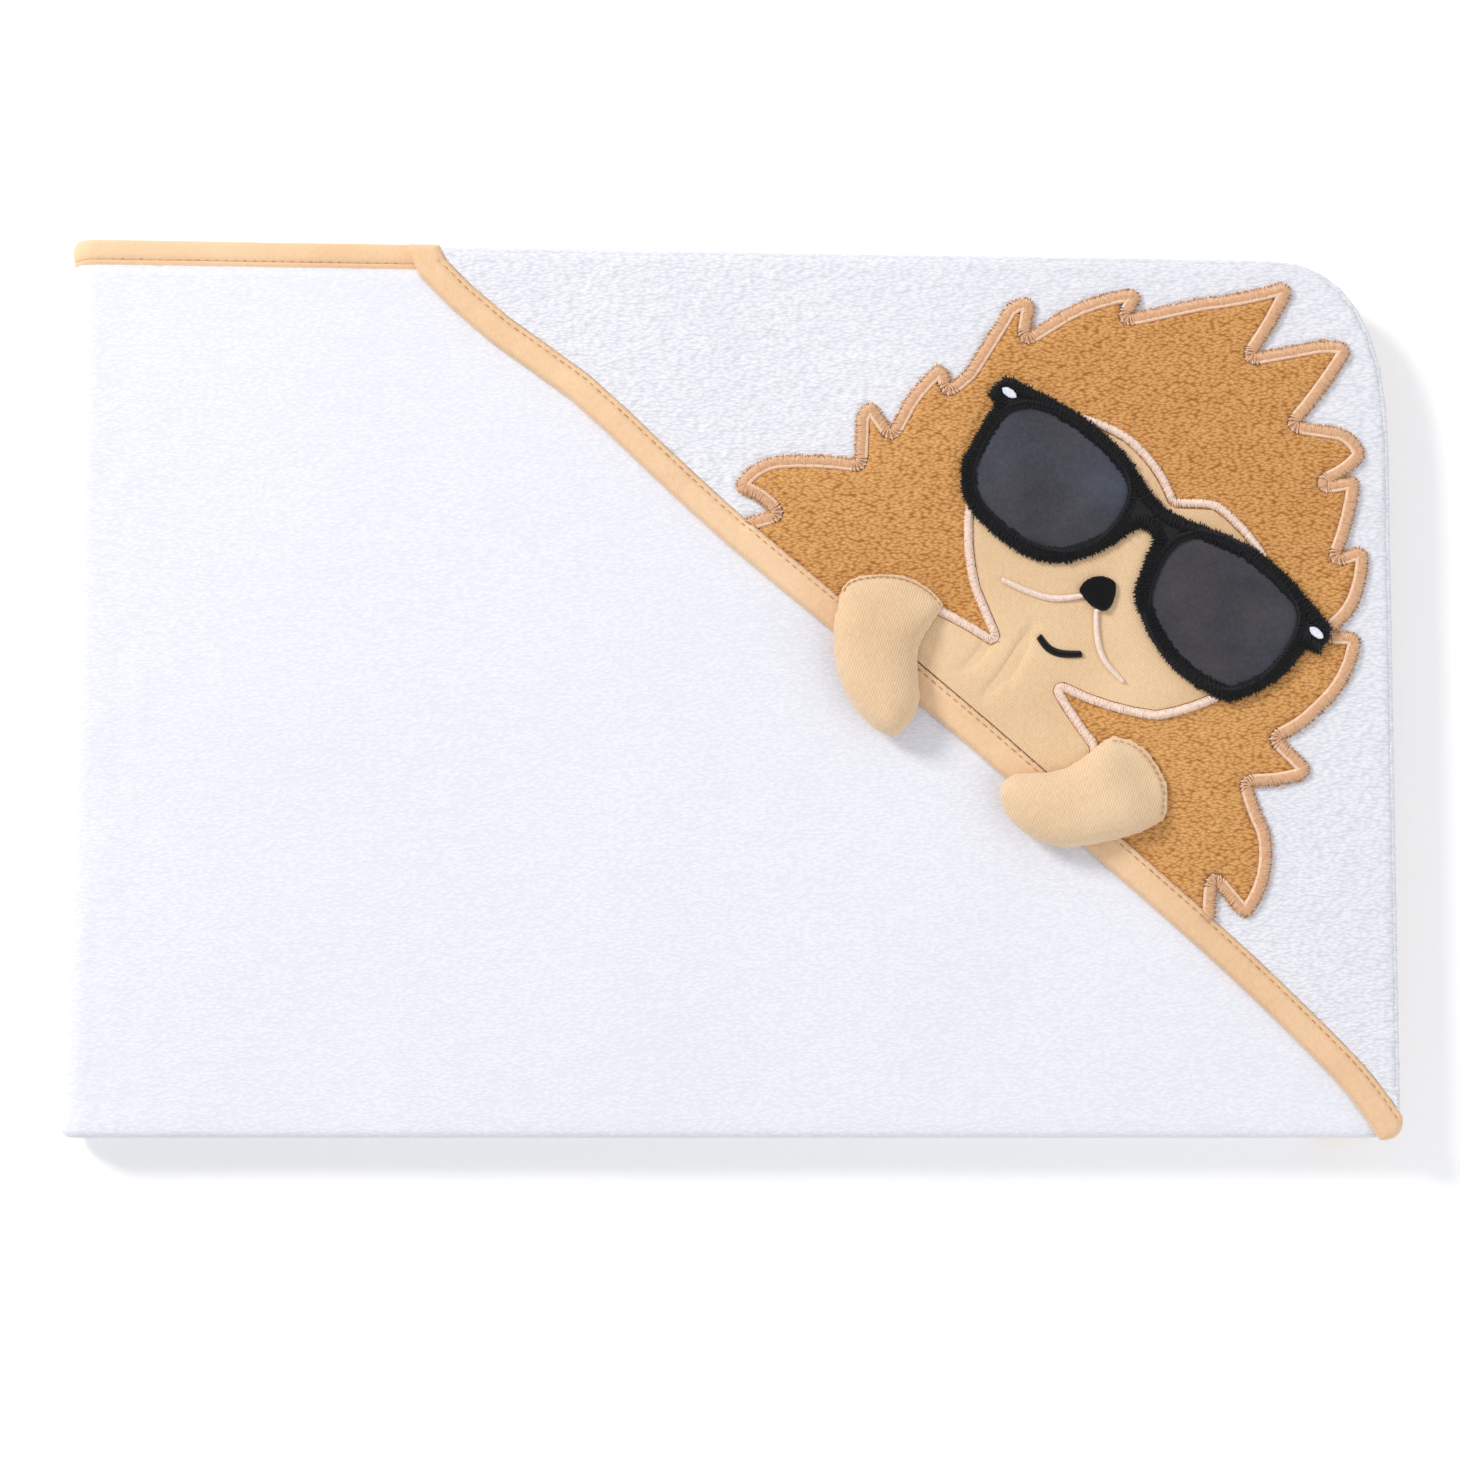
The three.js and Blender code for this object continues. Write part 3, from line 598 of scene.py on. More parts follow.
shape, share = tape_grid(320, 10)
across = crowded(2 * share[:, 0] - 1, 0.2)
upper = across > 0
reach = np.abs(across)
end = np.where(upper, seam_low.x - gap, side_high.x)
x = fold_left + reach * (end - fold_left)
slide = smoothstep((x - fold_left) / lower_slide)
upper_top = top_edge(x)
lower_top = upper_top + (under_high.y - upper_top) * slide
lower_width = strip_width + (under_high.y - under_low.y - strip_width) * slide
width = np.where(upper, strip_width, lower_width)
y = np.where(upper, upper_top, lower_top) - width * (1 - share[:, 1])
crown = 0.7 * mm * np.sqrt(np.maximum(1 - (2 * share[:, 1] - 1) ** 2, 0))
groove = 0.9 * mm * np.exp(-(((share[:, 1] * width - stitches_in) / (0.5 * mm)) ** 2))
pucker = 0.12 * mm * clouds(x, y, 2.2 * mm, 5.3, 0.6)
add_run(shape, half_turn(reach, end, y, np.full_like(y, layer_level[0]), upper, crown - groove + pucker))

turn_middle = (1 + turn_starts) / 2
for outwards, first, rows in ((-1, 0.0, 150), (1, turn_middle, 100)):
    shape, share = tape_grid(6, rows)
    down = first + (3 - first) * share[:, 1]
    x = side_low.x + share[:, 0] * (side_high.x - side_low.x)
    y, level, third, turning = zigzag(x, down, np.full_like(x, under_low.y - gap))
    add_run(shape, np.stack([x, y, fold_middle + outwards * level], axis=1))
edge_tape = piece_of(tape_shape, "edge_tape", peach_tape)
give_thickness(edge_tape, cloth * 0.98)
edges = edge_tape.modifiers.new("soft_edges", "BEVEL")
edges.width = 0.9 * mm
edges.segments = 2
edges.limit_method = "ANGLE"
edges.angle_limit = math.radians(60)
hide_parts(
    "binding_top_upper", "binding_side_upper", "binding_end_upper",
    "binding_top_lower", "binding_side_lower", "binding_end_lower",
)
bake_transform(edge_tape)


def sewn_on(made, slot, *nodes):
    """Hangs a piece on the towel's upper half and hides the CAD solids it stands for; slot is not used."""
    if nodes:
        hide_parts(*nodes)
    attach(made, "upper_half")


row_low, row_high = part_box("edge_binding_stitching")
stitch_pitch = 3.0 * mm
spots = np.arange(row_low.x + 2 * mm, row_high.x, stitch_pitch)
spots = np.stack([spots, top_edge(spots) - strip_width + stitches_in], axis=1)
shape = bmesh.new()
ahead = np.tile([1.0, -top_slope], (len(spots), 1))
lay_threads(shape, spots, ahead, 0.9 * mm, 0.21 * mm, strip_high.z - 0.1 * mm, 0.2 * mm)
edge_stitching = piece_of(shape, "edge_tape_stitching", tape_thread)
sewn_on(edge_stitching, "tan_thread", "edge_binding_stitching")


# The hood: a corner panel of white terry with long, lively loops, laid on the towel. Its side and top are
# sewn to the towel and turned, which rolls the edge over, and its bound opening runs across the packet.
def plan_of(verts):
    return np.array([vert.co.xy for vert in verts])


def patch(loops, cell, surface, underside):
    """A cut piece of cloth as a bmesh. Its upper face is a fine grid raised to surface(x, y, edge), where
    edge is the distance from the outline, and it is closed below."""
    corners = np.concatenate(loops)
    low, high = corners.min(0) - cell, corners.max(0) + cell
    counts = np.ceil((high - low) / cell).astype(int)
    middle, half = (low + high) / 2, (high - low) / 2
    place = Matrix.Translation((*middle, 0)) @ Matrix.Diagonal((*half, 1, 1))
    shape = bmesh.new()
    columns, rows = (int(count) for count in counts)
    bmesh.ops.create_grid(shape, x_segments=columns, y_segments=rows, size=1.0, matrix=place)
    inside = to_edge(plan_of(shape.verts), loops)[0]
    off_cloth = [vert for vert, far in zip(shape.verts, inside) if far < -0.3 * cell]
    bmesh.ops.delete(shape, geom=off_cloth, context="VERTS")
    # Corners where the cloth would only touch itself at a point are cut away, so that its rim is plain loops.
    while pinched := [vert for vert in shape.verts if sum(e.is_boundary for e in vert.link_edges) > 2]:
        bmesh.ops.delete(shape, geom=pinched, context="VERTS")
    bmesh.ops.delete(shape, geom=[vert for vert in shape.verts if not vert.link_faces], context="VERTS")
    rim = [vert for vert in shape.verts if vert.is_boundary]
    for vert, spot in zip(rim, to_edge(plan_of(rim), loops)[1]):
        vert.co.xy = spot
    beside = {edge.other_vert(vert) for vert in rim for edge in vert.link_edges} - set(rim)
    bmesh.ops.smooth_vert(shape, verts=list(beside), factor=0.5, use_axis_x=True, use_axis_y=True)
    plan = plan_of(shape.verts)
    edge = np.maximum(to_edge(plan, loops)[0], 0)
    for vert, height in zip(shape.verts, surface(*plan.T, edge) + settle(*plan.T)):
        vert.co.z = height
    hem = [e for e in shape.edges if e.is_boundary]
    grown = bmesh.ops.extrude_edge_only(shape, edges=hem)["geom"]
    below = [part for part in grown if isinstance(part, bmesh.types.BMVert)]
    for vert, lie in zip(below, settle(*plan_of(below).T)):
        vert.co.z = underside + lie
    hem = [e for e in shape.edges if e.is_boundary]
    if len(loops) == 1:
        bmesh.ops.triangulate(shape, faces=bmesh.ops.edgeloop_fill(shape, edges=hem)["faces"])
    else:
        bmesh.ops.triangle_fill(
            shape, edges=hem, use_beauty=False, use_dissolve=False, normal=(0, 0, -1),
        )
    bmesh.ops.recalc_face_normals(shape, faces=shape.faces)
    return shape


hood_terry = terry(
    "hood_terry", srgb(249, 249, 252), srgb(221, 222, 231),
    loop=0.8 * mm, stretch=2.6, turn=0.06, depth=0.5 * mm, strength=0.8, laid="2D",
)
binding_outline = outlines("hood_binding")


def hood_surface(x, y, edge):
    """Lively loops, rolled over at the sewn edges and tucked down beside the binding."""
    to_binding = -to_edge(np.stack([x, y], axis=1), binding_outline)[0]
    roll = 3.2 * mm
    beyond = np.clip(1 - edge / roll, 0, 1) * smoothstep(to_binding / (4 * mm))
    pile = 0.34 * mm * clouds(x, y, 1.35 * mm, 1.9, 1.9) + 0.25 * mm * clouds(x, y, 3.1 * mm, 6.2, 1.6)
    tucked = 0.7 * mm * np.exp(-np.maximum(to_binding, 0) / (2.5 * mm))
    return hood_high.z + pile - tucked - 1.1 * mm * (1 - np.sqrt(1 - beyond ** 2))


shape = patch(outlines("hood_panel"), 0.75 * mm, hood_surface, hood_low.z)
hood = piece_of(shape, "hood", hood_terry)
sewn_on(hood, "white_terry", "hood_panel")


# The turned seam: hood and towel are sewn face to face and turned out, so their joined edge is a soft roll
# of terry that runs along the top edge, round the hood's corner and down its side.
seam_rings = 420
path = resample(seam_edge, 0.1 * mm)[0]
path = path[np.linspace(0, len(path) - 1, seam_rings + 1).astype(int)]
heading = np.gradient(path, axis=0)
heading /= np.hypot(*heading.T)[:, None]
shape, share = tape_grid(seam_rings, 14)
spots = np.round(share[:, 0] * seam_rings).astype(int)
side = -left_of(heading)[spots]
angle = 2 * math.pi * share[:, 1]
outwards = -1.5 * mm + 1.35 * mm * np.cos(angle)
plan = path[spots] + side * outwards[:, None]
lively = 0.18 * mm * clouds(*plan.T, 1.6 * mm, 2.2)
plan = plan + side * lively[:, None]
up = (seam_low.z + seam_high.z) / 2 - 0.2 * mm + 2.1 * mm * np.sin(angle)
put(shape, np.column_stack([plan, up + settle(*plan.T)]))
bmesh.ops.remove_doubles(shape, verts=shape.verts, dist=0.001 * mm)
bmesh.ops.holes_fill(shape, edges=shape.edges, sides=0)
bmesh.ops.recalc_face_normals(shape, faces=shape.faces)
seam = piece_of(shape, "hood_turned_seam", hood_terry)
sewn_on(seam, "white_terry", "hood_seam")


# The hood's opening is bound with the same peach jersey, folded over the edge. One row of straight
# stitches holds it, and presses a groove into the tape just inside its upper edge.
def middle_line(node):
    """The line down the middle of a thin CAD strip, from the pairs of corners on its two sides."""
    loop = outlines(node)[0]
    half = len(loop) // 2

    def sides(first):
        turned = np.roll(loop, -first, 0)
        return turned[:half], turned[::-1][:half]

    def widest(first):
        left, right = sides(first)
        return np.hypot(*(left - right).T).max()

    left, right = sides(min(range(len(loop)), key=widest))
    return (left + right) / 2


def closest(plan, places):
    """For each point in plan, which of some places is the closest."""
    batch = 200
    return np.concatenate([
        np.hypot(*(plan[i : i + batch, None] - places).transpose(2, 0, 1)).argmin(1)
        for i in range(0, len(plan), batch)
    ])


def beside_path(x, y, path):
    """The distance from an open path."""
    fine = resample(path, 0.5 * mm)[0]
    plan = np.stack([x, y], axis=1)
    return np.hypot(*(plan - fine[closest(plan, fine)]).T)


def area_of(loop):
    """The area inside a closed outline, below 0 if it runs clockwise."""
    x, y = loop.T
    return (x * np.roll(y, -1) - np.roll(x, -1) * y).sum() / 2


def widened(loop, by):
    """A closed outline moved outwards all round."""
    ahead = np.roll(loop, -1, 0) - np.roll(loop, 1, 0)
    right = -left_of(ahead) / np.hypot(*ahead.T)[:, None]
    return loop + right * (by if area_of(loop) > 0 else -by)


stitch_line = middle_line("hood_binding_stitching")
binding_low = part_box("hood_binding")[0]
mane_outline = outlines("mane_applique")
face_outline = outlines("face_applique")


def binding_surface(x, y, edge):
    """Rounded tape, fuller where it runs beside the mane and face, with a groove under its stitches."""
    plan = np.stack([x, y], axis=1)
    off_applique = np.minimum(-to_edge(plan, mane_outline)[0], -to_edge(plan, face_outline)[0])
    rib = 2.7 * mm * np.exp(-((np.maximum(off_applique, 0) / (3.2 * mm)) ** 2))
    dome = np.sqrt(1 - np.clip(1 - edge / (3.4 * mm), 0, 1) ** 2)
    sharp = np.sqrt(1 - np.clip(1 - edge / (1.2 * mm), 0, 1) ** 2)
    groove = np.exp(-((beside_path(x, y, stitch_line) / (0.55 * mm)) ** 2))
    pucker = 0.14 * mm * clouds(x, y, 1.9 * mm, 4.4) + 0.3 * mm * clouds(x, y, 9 * mm, 9.4)
    swell = binding_low.z + 1.2 * mm + 2.6 * mm * dome + rib * (0.75 + 0.25 * sharp)
    return swell - 0.85 * mm * groove + pucker * dome


def level_at(mesh, spots, above):
    """The height of a mesh's upper side at some spots, less the lie of the stack, which lay_threads adds."""
    points = read_points(mesh)
    points = points[points[:, 2] > above]
    return points[closest(spots, points[:, :2]), 2] - settle(*spots.T)


tape_outline = [widened(loop, 0.45 * mm) for loop in binding_outline]
shape = patch(tape_outline, 0.5 * mm, binding_surface, binding_low.z)
binding = piece_of(shape, "hood_binding_tape", peach_tape)
sewn_on(binding, "peach_jersey", "hood_binding")

spots, ahead = (run[1:-1] for run in resample(stitch_line, stitch_pitch))
shape = bmesh.new()
level = level_at(binding.data, spots, binding_low.z + 1.5 * mm)
lay_threads(shape, spots, ahead, 0.9 * mm, 0.21 * mm, level + 0.1 * mm, 0.1 * mm)
hood_stitching = piece_of(shape, "hood_binding_stitches", tape_thread)
sewn_on(hood_stitching, "tan_thread", "hood_binding_stitching")


# The mane: an applique of caramel terry with thirteen locks round its edge. A border of satin stitch
# covers the raw edge. A thin row of paler threads along its inner side paints the satin's sheen as a
# highlight. A little of the pile stands out past it.
caramel = terry(
    "caramel_mane_terry", srgb(252, 197, 128), srgb(170, 105, 46), contrast=(0.5, 1.22),
    loop=0.72 * mm, stretch=2.2, turn=0.7, depth=0.5 * mm, strength=1.0, laid="2D",
)
mane_low, mane_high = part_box("mane_applique")


def mane_surface(x, y, edge):
    """Looped pile, lower where the face lies on it."""
    under_face = to_edge(np.stack([x, y], axis=1), face_outline)[0]
    pile = 0.42 * mm * clouds(x, y, 1.15 * mm, 7.7, 1.2) + 0.3 * mm * clouds(x, y, 2.6 * mm, 0.9)
    rounded = 0.8 * mm * np.exp(-edge / (0.9 * mm))
    return mane_high.z + 0.35 * mm + pile - rounded - 1.3 * mm * smoothstep(under_face / (2.5 * mm))


mane = piece_of(patch(mane_outline, 0.62 * mm, mane_surface, mane_low.z), "mane", caramel)
sewn_on(mane, "caramel_terry", "mane_applique")

random = np.random.default_rng(11)


def inward_from(chain, loops, spacing, closed=False):
    """Spots along an edge, and the unit direction from each into the shape that it bounds."""
    spots, heading = resample(chain, spacing, closed)
    inward = left_of(heading)
    inside = to_edge(spots + inward * 0.8 * mm, loops)[0] > 0
    return spots, inward if inside.mean() > 0.5 else -inward


satin_apart = 0.42 * mm


def satin_edge(shape, chain, loops, width, base, arch, ragged, closed=False, radius=0.3 * mm):
    """Lays satin stitches side by side along an edge, each from just outside it to width inside."""
    spots, inward = inward_from(chain, loops, satin_apart, closed)
    count = len(spots)
    reach = width / 2 + ragged * random.random(count)
    middle = spots + inward * (width / 2 + ragged * (random.random(count) - 0.8))[:, None]
    lean = 0.35 * mm + 0.12 * mm * random.standard_normal(count)
    lift = base + 0.07 * mm * random.standard_normal(count)
    lay_threads(shape, middle, inward, reach, radius, lift, arch, lean=lean)


def even(level):
    """The flat surface that satin stitches lie on, for patch."""
    return lambda x, y, edge: np.full_like(x, level)


def satin(name, light, dark, roughness):
    """Shiny embroidery thread."""
    return thread(name, light, dark, roughness, sheen=0.3, specular=0.5)


tan_satin = satin("tan_satin_stitch", srgb(235, 192, 152), srgb(202, 152, 114), roughness=0.38)
border_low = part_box("mane_border")[0]
border_base = border_low.z + 0.9 * mm
border_outline = outlines("mane_border")
mane_chain = outer_chain("mane_border", "mane_applique", 1.5 * mm)
shape = patch(border_outline, 0.9 * mm, even(border_base), border_low.z)
satin_edge(shape, mane_chain, border_outline, 3.3 * mm, border_base, 0.95 * mm, 0.35 * mm)
mane_border = piece_of(shape, "mane_satin_border", tan_satin)
sewn_on(mane_border, "tan_satin", "mane_border")

# Painted highlight: a row of paler threads along the border's inner side stands in for the sheen of the
# satin. The threads are real, and their paler colour is painted light.
painted_highlight_satin = satin("painted_highlight_satin_stitch", srgb(252, 226, 200), srgb(234, 192, 156), roughness=0.36)
spots, inward = inward_from(mane_chain, border_outline, 0.44 * mm)
row = spots + inward * 2.85 * mm
clear = beside_path(*row.T, mane_chain) > 2.5 * mm
row_base = border_low.z + 1.1 * mm
shape = bmesh.new()
lay_threads(shape, row[clear], inward[clear], 0.7 * mm, 0.25 * mm, row_base, 0.6 * mm, lean=0.3 * mm)
painted_highlight_row = piece_of(shape, "mane_satin_painted_highlight_row", painted_highlight_satin)
sewn_on(painted_highlight_row, "tan_satin")

spots, inward = inward_from(mane_chain, border_outline, 0.55 * mm)
turned = random.normal(0, 0.5, (len(spots), 1))
across = inward * np.cos(turned) + left_of(inward) * np.sin(turned)
out = 0.35 * mm + 0.35 * mm * random.random(len(spots))
tuft = 0.35 * mm + 0.45 * mm * random.random(len(spots)) ** 2
shape = bmesh.new()
lay_threads(shape, spots - across * out[:, None], across, tuft, 0.22 * mm, border_low.z + 0.5 * mm, 0.3 * mm)
fringe = piece_of(shape, "mane_edge_pile", caramel)
sewn_on(fringe, "caramel_terry")


# The face and neck: an applique of pale tan jersey over the mane. It is smooth, with soft creases at the
# neck and a pucker along the hood's binding, and satin stitch covers its edge beside the glasses.
face_jersey = jersey(
    "pale_face_jersey", srgb(240, 208, 167), srgb(206, 168, 128),
    angle=-0.6, rib=0.8 * mm, depth=0.2 * mm,
)
face_low, face_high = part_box("face_applique")
mouth_low, mouth_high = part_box("mouth")
crease_top = np.array([mouth_low.x, mouth_high.y])
# Each crease's start and end from there, its depth, its width and how far it bows, in millimetres.
creases = (
    ((2.0, 5.5), (-17.5, -23.0), 1.5, 1.7, 2.0),
    ((-2.5, -1.0), (-10.5, -17.0), 1.1, 1.8, -1.2),
    ((-11.5, 1.0), (-25.0, -14.0), 1.0, 2.0, 1.5),
)


def face_surface(x, y, edge):
    """Smooth cloth, a little rounded at its edge, with the neck's creases and a groove along the binding."""
    height = face_high.z + 0.3 * mm * clouds(x, y, 14 * mm, 5.5) - 0.35 * mm * np.exp(-edge / (1.2 * mm))
    for start, end, depth, width, bow in creases:
        start, end = (crease_top + np.array(spot) * mm for spot in (start, end))
        half = (end - start) / 2
        x_off, y_off = x - (start + end)[0] / 2, y - (start + end)[1] / 2
        share = (x_off * half[0] + y_off * half[1]) / (half @ half)
        aside = (x_off * half[1] - y_off * half[0]) / math.hypot(*half) - bow * mm * share ** 2
        taper = np.clip(1 - share ** 2, 0, 1)
        height -= depth * mm * taper * np.exp(-((aside / (width * mm)) ** 2))
    to_tape = -to_edge(np.stack([x, y], axis=1), binding_outline)[0]
    return height - 0.5 * mm * np.exp(-((to_tape - 2.4 * mm) / (0.7 * mm)) ** 2)


shape = patch(face_outline, 0.9 * mm, face_surface, face_low.z)
face = piece_of(shape, "face_and_neck", face_jersey)
sewn_on(face, "pale_jersey", "face_applique")


def eased(path, spacing, rounds):
    """An open path bowed through its points, and then smoothed, except at its sharp turns."""
    step = np.diff(path, axis=0)
    bearing = np.arctan2(step[:, 1], step[:, 0])
    turn = np.abs((np.diff(bearing) + math.pi) % (2 * math.pi) - math.pi)
    stops = [0, *(np.nonzero(turn > math.radians(50))[0] + 1), len(path) - 1]
    bowed = [path[:1]]
    for first, last in zip(stops[:-1], stops[1:]):
        run = path[first : last + 1]
        run = np.vstack([2 * run[0] - run[1], run, 2 * run[-1] - run[-2]])
        for before, start, end, after in zip(run, run[1:], run[2:], run[3:]):
            share = np.linspace(0, 1, 13)[1:, None]
            pull = start * 2 + (end - before) * share
            pull = pull + (2 * before - 5 * start + 4 * end - after) * share ** 2
            bowed.append((pull + (3 * start - before - 3 * end + after) * share ** 3) / 2)
    corners = path[stops]
    path = resample(np.vstack(bowed), spacing)[0]
    held = np.hypot(*(corners[:, None] - path).transpose(2, 0, 1)).argmin(1)
    path[held] = corners
    for _ in range(rounds):
        path[1:-1] = (path[:-2] + path[2:]) / 2
        path[held] = corners
    return path


cream_satin = satin("cream_satin_stitch", srgb(255, 236, 222), srgb(232, 196, 176), roughness=0.4)
for side, narrowed, rounds in (("left", 0, 4), ("brow", 0.7 * mm, 45), ("right", 0, 4)):
    node = "face_border_" + side
    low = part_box(node)[0]
    loops = outlines(node)
    core = [widened(loop, -narrowed) for loop in loops]
    shape = patch(core, 0.4 * mm, even(low.z + 0.5 * mm), low.z)
    chain = eased(outer_chain(node, "face_applique", 1.6 * mm), 0.4 * mm, rounds)
    chain = chain[-to_edge(chain, outlines("glasses_frame")[:1])[0] > 1.1 * mm]
    satin_edge(shape, chain, loops, 2.5 * mm, low.z + 0.7 * mm, 0.95 * mm, 0.15 * mm, radius=0.26 * mm)
    sewn_on(piece_of(shape, "face_satin_" + side, cream_satin), "cream_satin", node)


# The sunglasses: a frame of black satin stitch round two lenses of dark grey short-pile fabric. The
# stitches stand out of the frame's outer edge a little, and lie smooth round the lenses.
black_satin = thread(
    "black_satin_stitch", srgb(24, 24, 28), srgb(8, 8, 10),
    roughness=0.42, sheen=0.08, specular=0.35,
)
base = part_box("glasses_frame")[0].z
frame_outline = outlines("glasses_frame")
rim_loop = max(frame_outline, key=lambda loop: np.ptp(loop[:, 0]))
shape = patch(frame_outline, 0.8 * mm, even(base + 1.2 * mm), base)
satin_edge(shape, rim_loop, frame_outline, 4.4 * mm, base + 0.9 * mm, 0.9 * mm, 0.7 * mm, closed=True)
for loop in frame_outline:
    if loop is not rim_loop:
        satin_edge(shape, loop, frame_outline, 3.0 * mm, base + 1.1 * mm, 0.9 * mm, 0.1 * mm, closed=True)
glasses = piece_of(shape, "sunglasses_frame", black_satin)
sewn_on(glasses, "black_satin", "glasses_frame")

lens_pile = Fabric("grey_lens_pile", roughness=0.8, sheen=0.6, specular=0.3)
nap = lens_pile.cloud((900, 900, 900), 3.0, roughness=0.7)
brushed = lens_pile.cloud((60, 60, 60), 3.0)
blush = lens_pile.range(lens_pile.cloud((22, 22, 22), 1.0), 0.35, 0.65)
base_grey = lens_pile.mix(blush, srgb(68, 73, 87), srgb(74, 68, 70))
shade = lens_pile.range(nap * 0.5 + brushed * 0.7, 0.42, 0.82)
lens_pile.finish(lens_pile.mix(shade, srgb(45, 45, 53), base_grey), nap + brushed * 0.5, 0.12 * mm, 0.6)
for side in ("left", "right"):
    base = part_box("lens_" + side)[0].z

    def lens_surface(x, y, edge):
        dome = 1.1 * mm * (1 - np.exp(-edge / (3.5 * mm)))
        return base + 0.6 * mm + dome + 0.12 * mm * clouds(x, y, 7 * mm, 1.1)

    lens_outline = [widened(loop, 0.4 * mm) for loop in outlines("lens_" + side)]
    shape = patch(lens_outline, 0.9 * mm, lens_surface, base)
    sewn_on(piece_of(shape, side + "_lens", lens_pile.material), "grey_satin", "lens_" + side)


# Two rivets in white thread, the black nose and mouth, and the two cream lines that run from the nose
# across the cheeks: all satin stitch, worked through the face and the frame.
def satin_fill(shape, loops, angle, base, arch):
    """Fills a shape with satin stitches that run across it at an angle."""
    along = np.array([math.cos(angle), math.sin(angle)])
    up = np.array([-along[1], along[0]])
    levels = np.concatenate(loops) @ up
    spots, half = [], []
    for level in np.arange(levels.min() + satin_apart / 2, levels.max(), satin_apart):
        crossings = []
        for loop in loops:
            ends = np.roll(loop, -1, 0)
            first, last = loop @ up - level, ends @ up - level
            cut = first * last < 0
            share = first[cut] / (first[cut] - last[cut])
            crossings += list((loop[cut] + (ends - loop)[cut] * share[:, None]) @ along)
        crossings.sort()
        for start, end in zip(crossings[0::2], crossings[1::2]):
            spots.append(along * (start + end) / 2 + up * level)
            half.append((end - start) / 2 + 0.15 * mm * random.random())
    across = np.tile(along, (len(spots), 1))
    lay_threads(shape, np.array(spots), across, half, 0.28 * mm, base, arch)


rivet_thread = thread(
    "white_rivet_thread", srgb(252, 252, 255), srgb(214, 220, 236),
    roughness=0.3, sheen=0.2, specular=0.5,
)
filled = (
    ("glasses_rivet_left", "left_rivet", "white_thread", rivet_thread, 0.95, 0.35 * mm),
    ("glasses_rivet_right", "right_rivet", "white_thread", rivet_thread, 0.85, 0.35 * mm),
    ("nose", "nose_stitching", "black_satin", black_satin, 0.1, 0.7 * mm),
)
for node, name, slot, material, angle, arch in filled:
    low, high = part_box(node)
    loops = outlines(node)
    shape = patch(loops, 0.6 * mm, even(high.z - 0.25 * mm), low.z)
    satin_fill(shape, loops, angle, high.z - 0.2 * mm, arch)
    sewn_on(piece_of(shape, name, material), slot, node)

lines = (
    ("mouth", "mouth_stitching", "black_satin", black_satin, 1.25 * mm, 0.85),
    ("cheek_line_left", "left_cheek_stitching", "cream_satin", cream_satin, 1.05 * mm, 0.7),
    ("cheek_line_right", "right_cheek_stitching", "cream_satin", cream_satin, 0.95 * mm, 0.7),
)
for node, name, slot, material, half_width, evenness in lines:
    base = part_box(node)[0].z + 0.1 * mm
    spots, ahead = resample(eased(middle_line(node), 0.35 * mm, 20), 0.35 * mm)
    along = np.linspace(0, 1, len(spots))
    half = half_width * (evenness + (1 - evenness) * np.sin(math.pi * along) ** 0.5)
    shape = bmesh.new()
    lay_threads(shape, spots, left_of(ahead), half, 0.27 * mm, base, 0.9 * mm, lean=0.2 * mm)
    sewn_on(piece_of(shape, name, material), slot, node)


# The paws: each is a jersey front and back sewn together and stuffed with fibre. The round end is stitched
# flat to the hood, and the rest is a soft flap that lifts at the straight line across its sewn end.
def beyond(x, y, hinge, along):
    """How far a place lies past the hinge line, on the flap's side of it."""
    return (y - hinge[1]) * along[0] - (x - hinge[0]) * along[1]


def joined_outline(sewn, flap, hinge, along):
    """The paw's whole outline, anticlockwise: round its sewn edge from one end of the hinge line to the
    other, and then round its flap."""
    sewn, flap = (loop if area_of(loop) > 0 else loop[::-1] for loop in (sewn, flap))
    chord = np.argmax(np.hypot(*(np.roll(sewn, -1, 0) - sewn).T))
    sewn = np.roll(sewn, -chord - 1, 0)
    flap_clear = 4.5 * mm
    clear = beyond(*flap.T, hinge, along) > flap_clear
    first = next(i for i in range(len(flap)) if clear[i] and not clear[i - 1])
    return np.vstack([sewn, np.roll(flap, -first, 0)[np.roll(clear, -first)]])


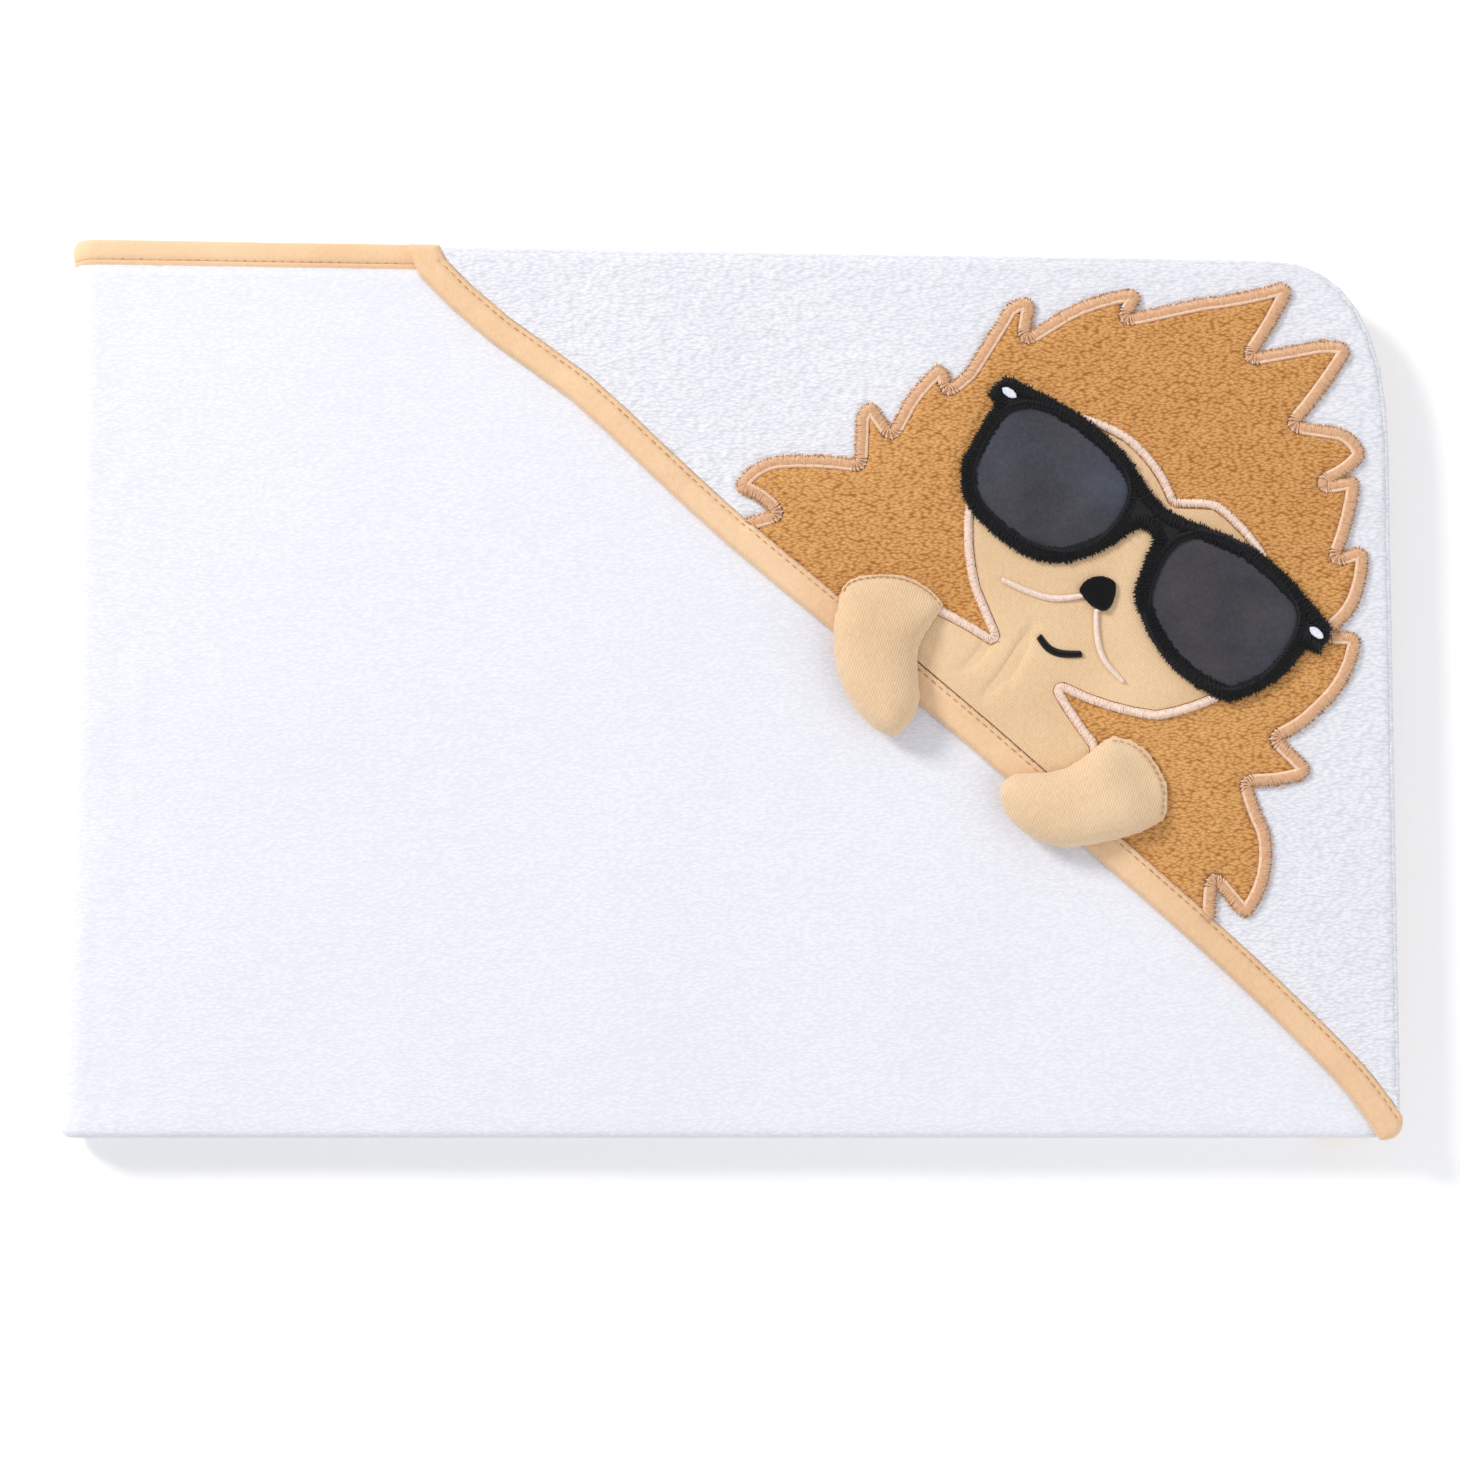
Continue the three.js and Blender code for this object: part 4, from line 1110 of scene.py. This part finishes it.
def stuffed(name, outline, low, hinge, along):
    """A closed pad over an outline, blown up by a cloth simulation from a low dome. Its back and its sewn
    end are held, and the sides pull in as it fills."""
    def low_dome(x, y, edge):
        filled = smoothstep((beyond(x, y, hinge, along) + 4 * mm) / (15 * mm))
        height = (2.2 + 6.2 * filled) * mm
        return low + 0.6 * mm + height * np.sqrt(1 - np.clip(1 - edge / (11.5 * mm), 0, 1) ** 2)

    pad = piece_of(patch([outline], 1.5 * mm, low_dome, low), name, paw_jersey)
    bpy.context.view_layer.objects.active = pad
    remesh = pad.modifiers.new("even_mesh", "REMESH")
    remesh.mode = "VOXEL"
    remesh.voxel_size = 1.2 * mm
    bpy.ops.object.modifier_apply(modifier=remesh.name)
    rest = read_points(pad.data)
    sewn_end = beyond(rest[:, 0], rest[:, 1], hinge, along) < -1.0 * mm
    back = rest[:, 2] < low + settle(rest[:, 0], rest[:, 1]) + 0.9 * mm
    held = pad.vertex_groups.new(name="held")
    held.add(np.nonzero(sewn_end | back)[0].tolist(), 1.0, "REPLACE")
    filling = pad.modifiers.new("filling", "CLOTH")
    filling.settings.vertex_group_mass = held.name
    filling.settings.effector_weights.gravity = 0
    filling.settings.use_pressure = True
    filling.settings.uniform_pressure_force = 4.0
    filling.settings.tension_stiffness = 12
    filling.settings.compression_stiffness = 12
    filling.settings.quality = 6
    last_step = 20
    for step in range(1, last_step + 1):
        bpy.context.scene.frame_set(step)
    bpy.ops.object.modifier_apply(modifier=filling.name)
    bpy.context.scene.frame_set(1)
    move = read_points(pad.data) - rest
    far = np.linalg.norm(move, axis=1)[:, None]
    most = 5.5 * mm
    write_points(pad.data, rest + move * np.minimum(1, most / np.maximum(far, 1e-9)))
    finer = pad.modifiers.new("finer", "SUBSURF")
    finer.levels = 2
    finer.render_levels = 2
    bpy.ops.object.modifier_apply(modifier=finer.name)
    return pad


paw_jersey = jersey(
    "paw_jersey", srgb(246, 216, 178), srgb(210, 173, 132),
    angle=0.35, rib=0.8 * mm, depth=0.26 * mm, fuzz=0.5,
)
paw_thread = thread("paw_thread", srgb(214, 172, 128), srgb(176, 132, 90), roughness=0.6)
for side in ("left", "right"):
    flap_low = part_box(f"paw_{side}_back")[0]
    joint = next(j for j in frame["joints"] if j["name"] == side + "_paw_flap")
    hinge = np.array(joint["pos_m"][:2])
    along = np.array(joint["axis"][:2])
    sewn, flap = outlines(f"paw_{side}_sewn_edge")[0], outlines(f"paw_{side}_back")[0]
    outline = joined_outline(sewn, flap, hinge, along)
    pad = stuffed(side + "_paw", outline, flap_low.z - 0.3 * mm, hinge, along)

    edge, ahead = resample(outline[: len(sewn)], 0.4 * mm)
    row = edge + left_of(ahead) * 1.7 * mm
    row = row[beyond(*row.T, hinge, along) < 0]
    over_back = flap_low.z + 1.0 * mm
    points = read_points(pad.data)
    pressed = np.exp(-((beside_path(points[:, 0], points[:, 1], row) / (0.7 * mm)) ** 2))
    points[:, 2] -= 0.45 * mm * pressed * (points[:, 2] > over_back)
    write_points(pad.data, points)
    spots, ahead = resample(row, 2.1 * mm)
    level = level_at(pad.data, spots, over_back)
    shape = bmesh.new()
    lay_threads(shape, spots, ahead, 0.75 * mm, 0.22 * mm, level + 0.05 * mm, 0.1 * mm)
    stitches = piece_of(shape, side + "_paw_stitches", paw_thread)
    sewn_on(stitches, "tan_thread", f"paw_{side}_stitching")

    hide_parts(*[f"paw_{side}_{part}" for part in ("back", "front", "filling", "sewn_edge")])
    outwards = Vector((-along[1], along[0], 0))
    start = Vector(joint["pos_m"]) - outwards * 1.0 * mm
    start + outwards * 5 * mm
    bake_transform(pad)
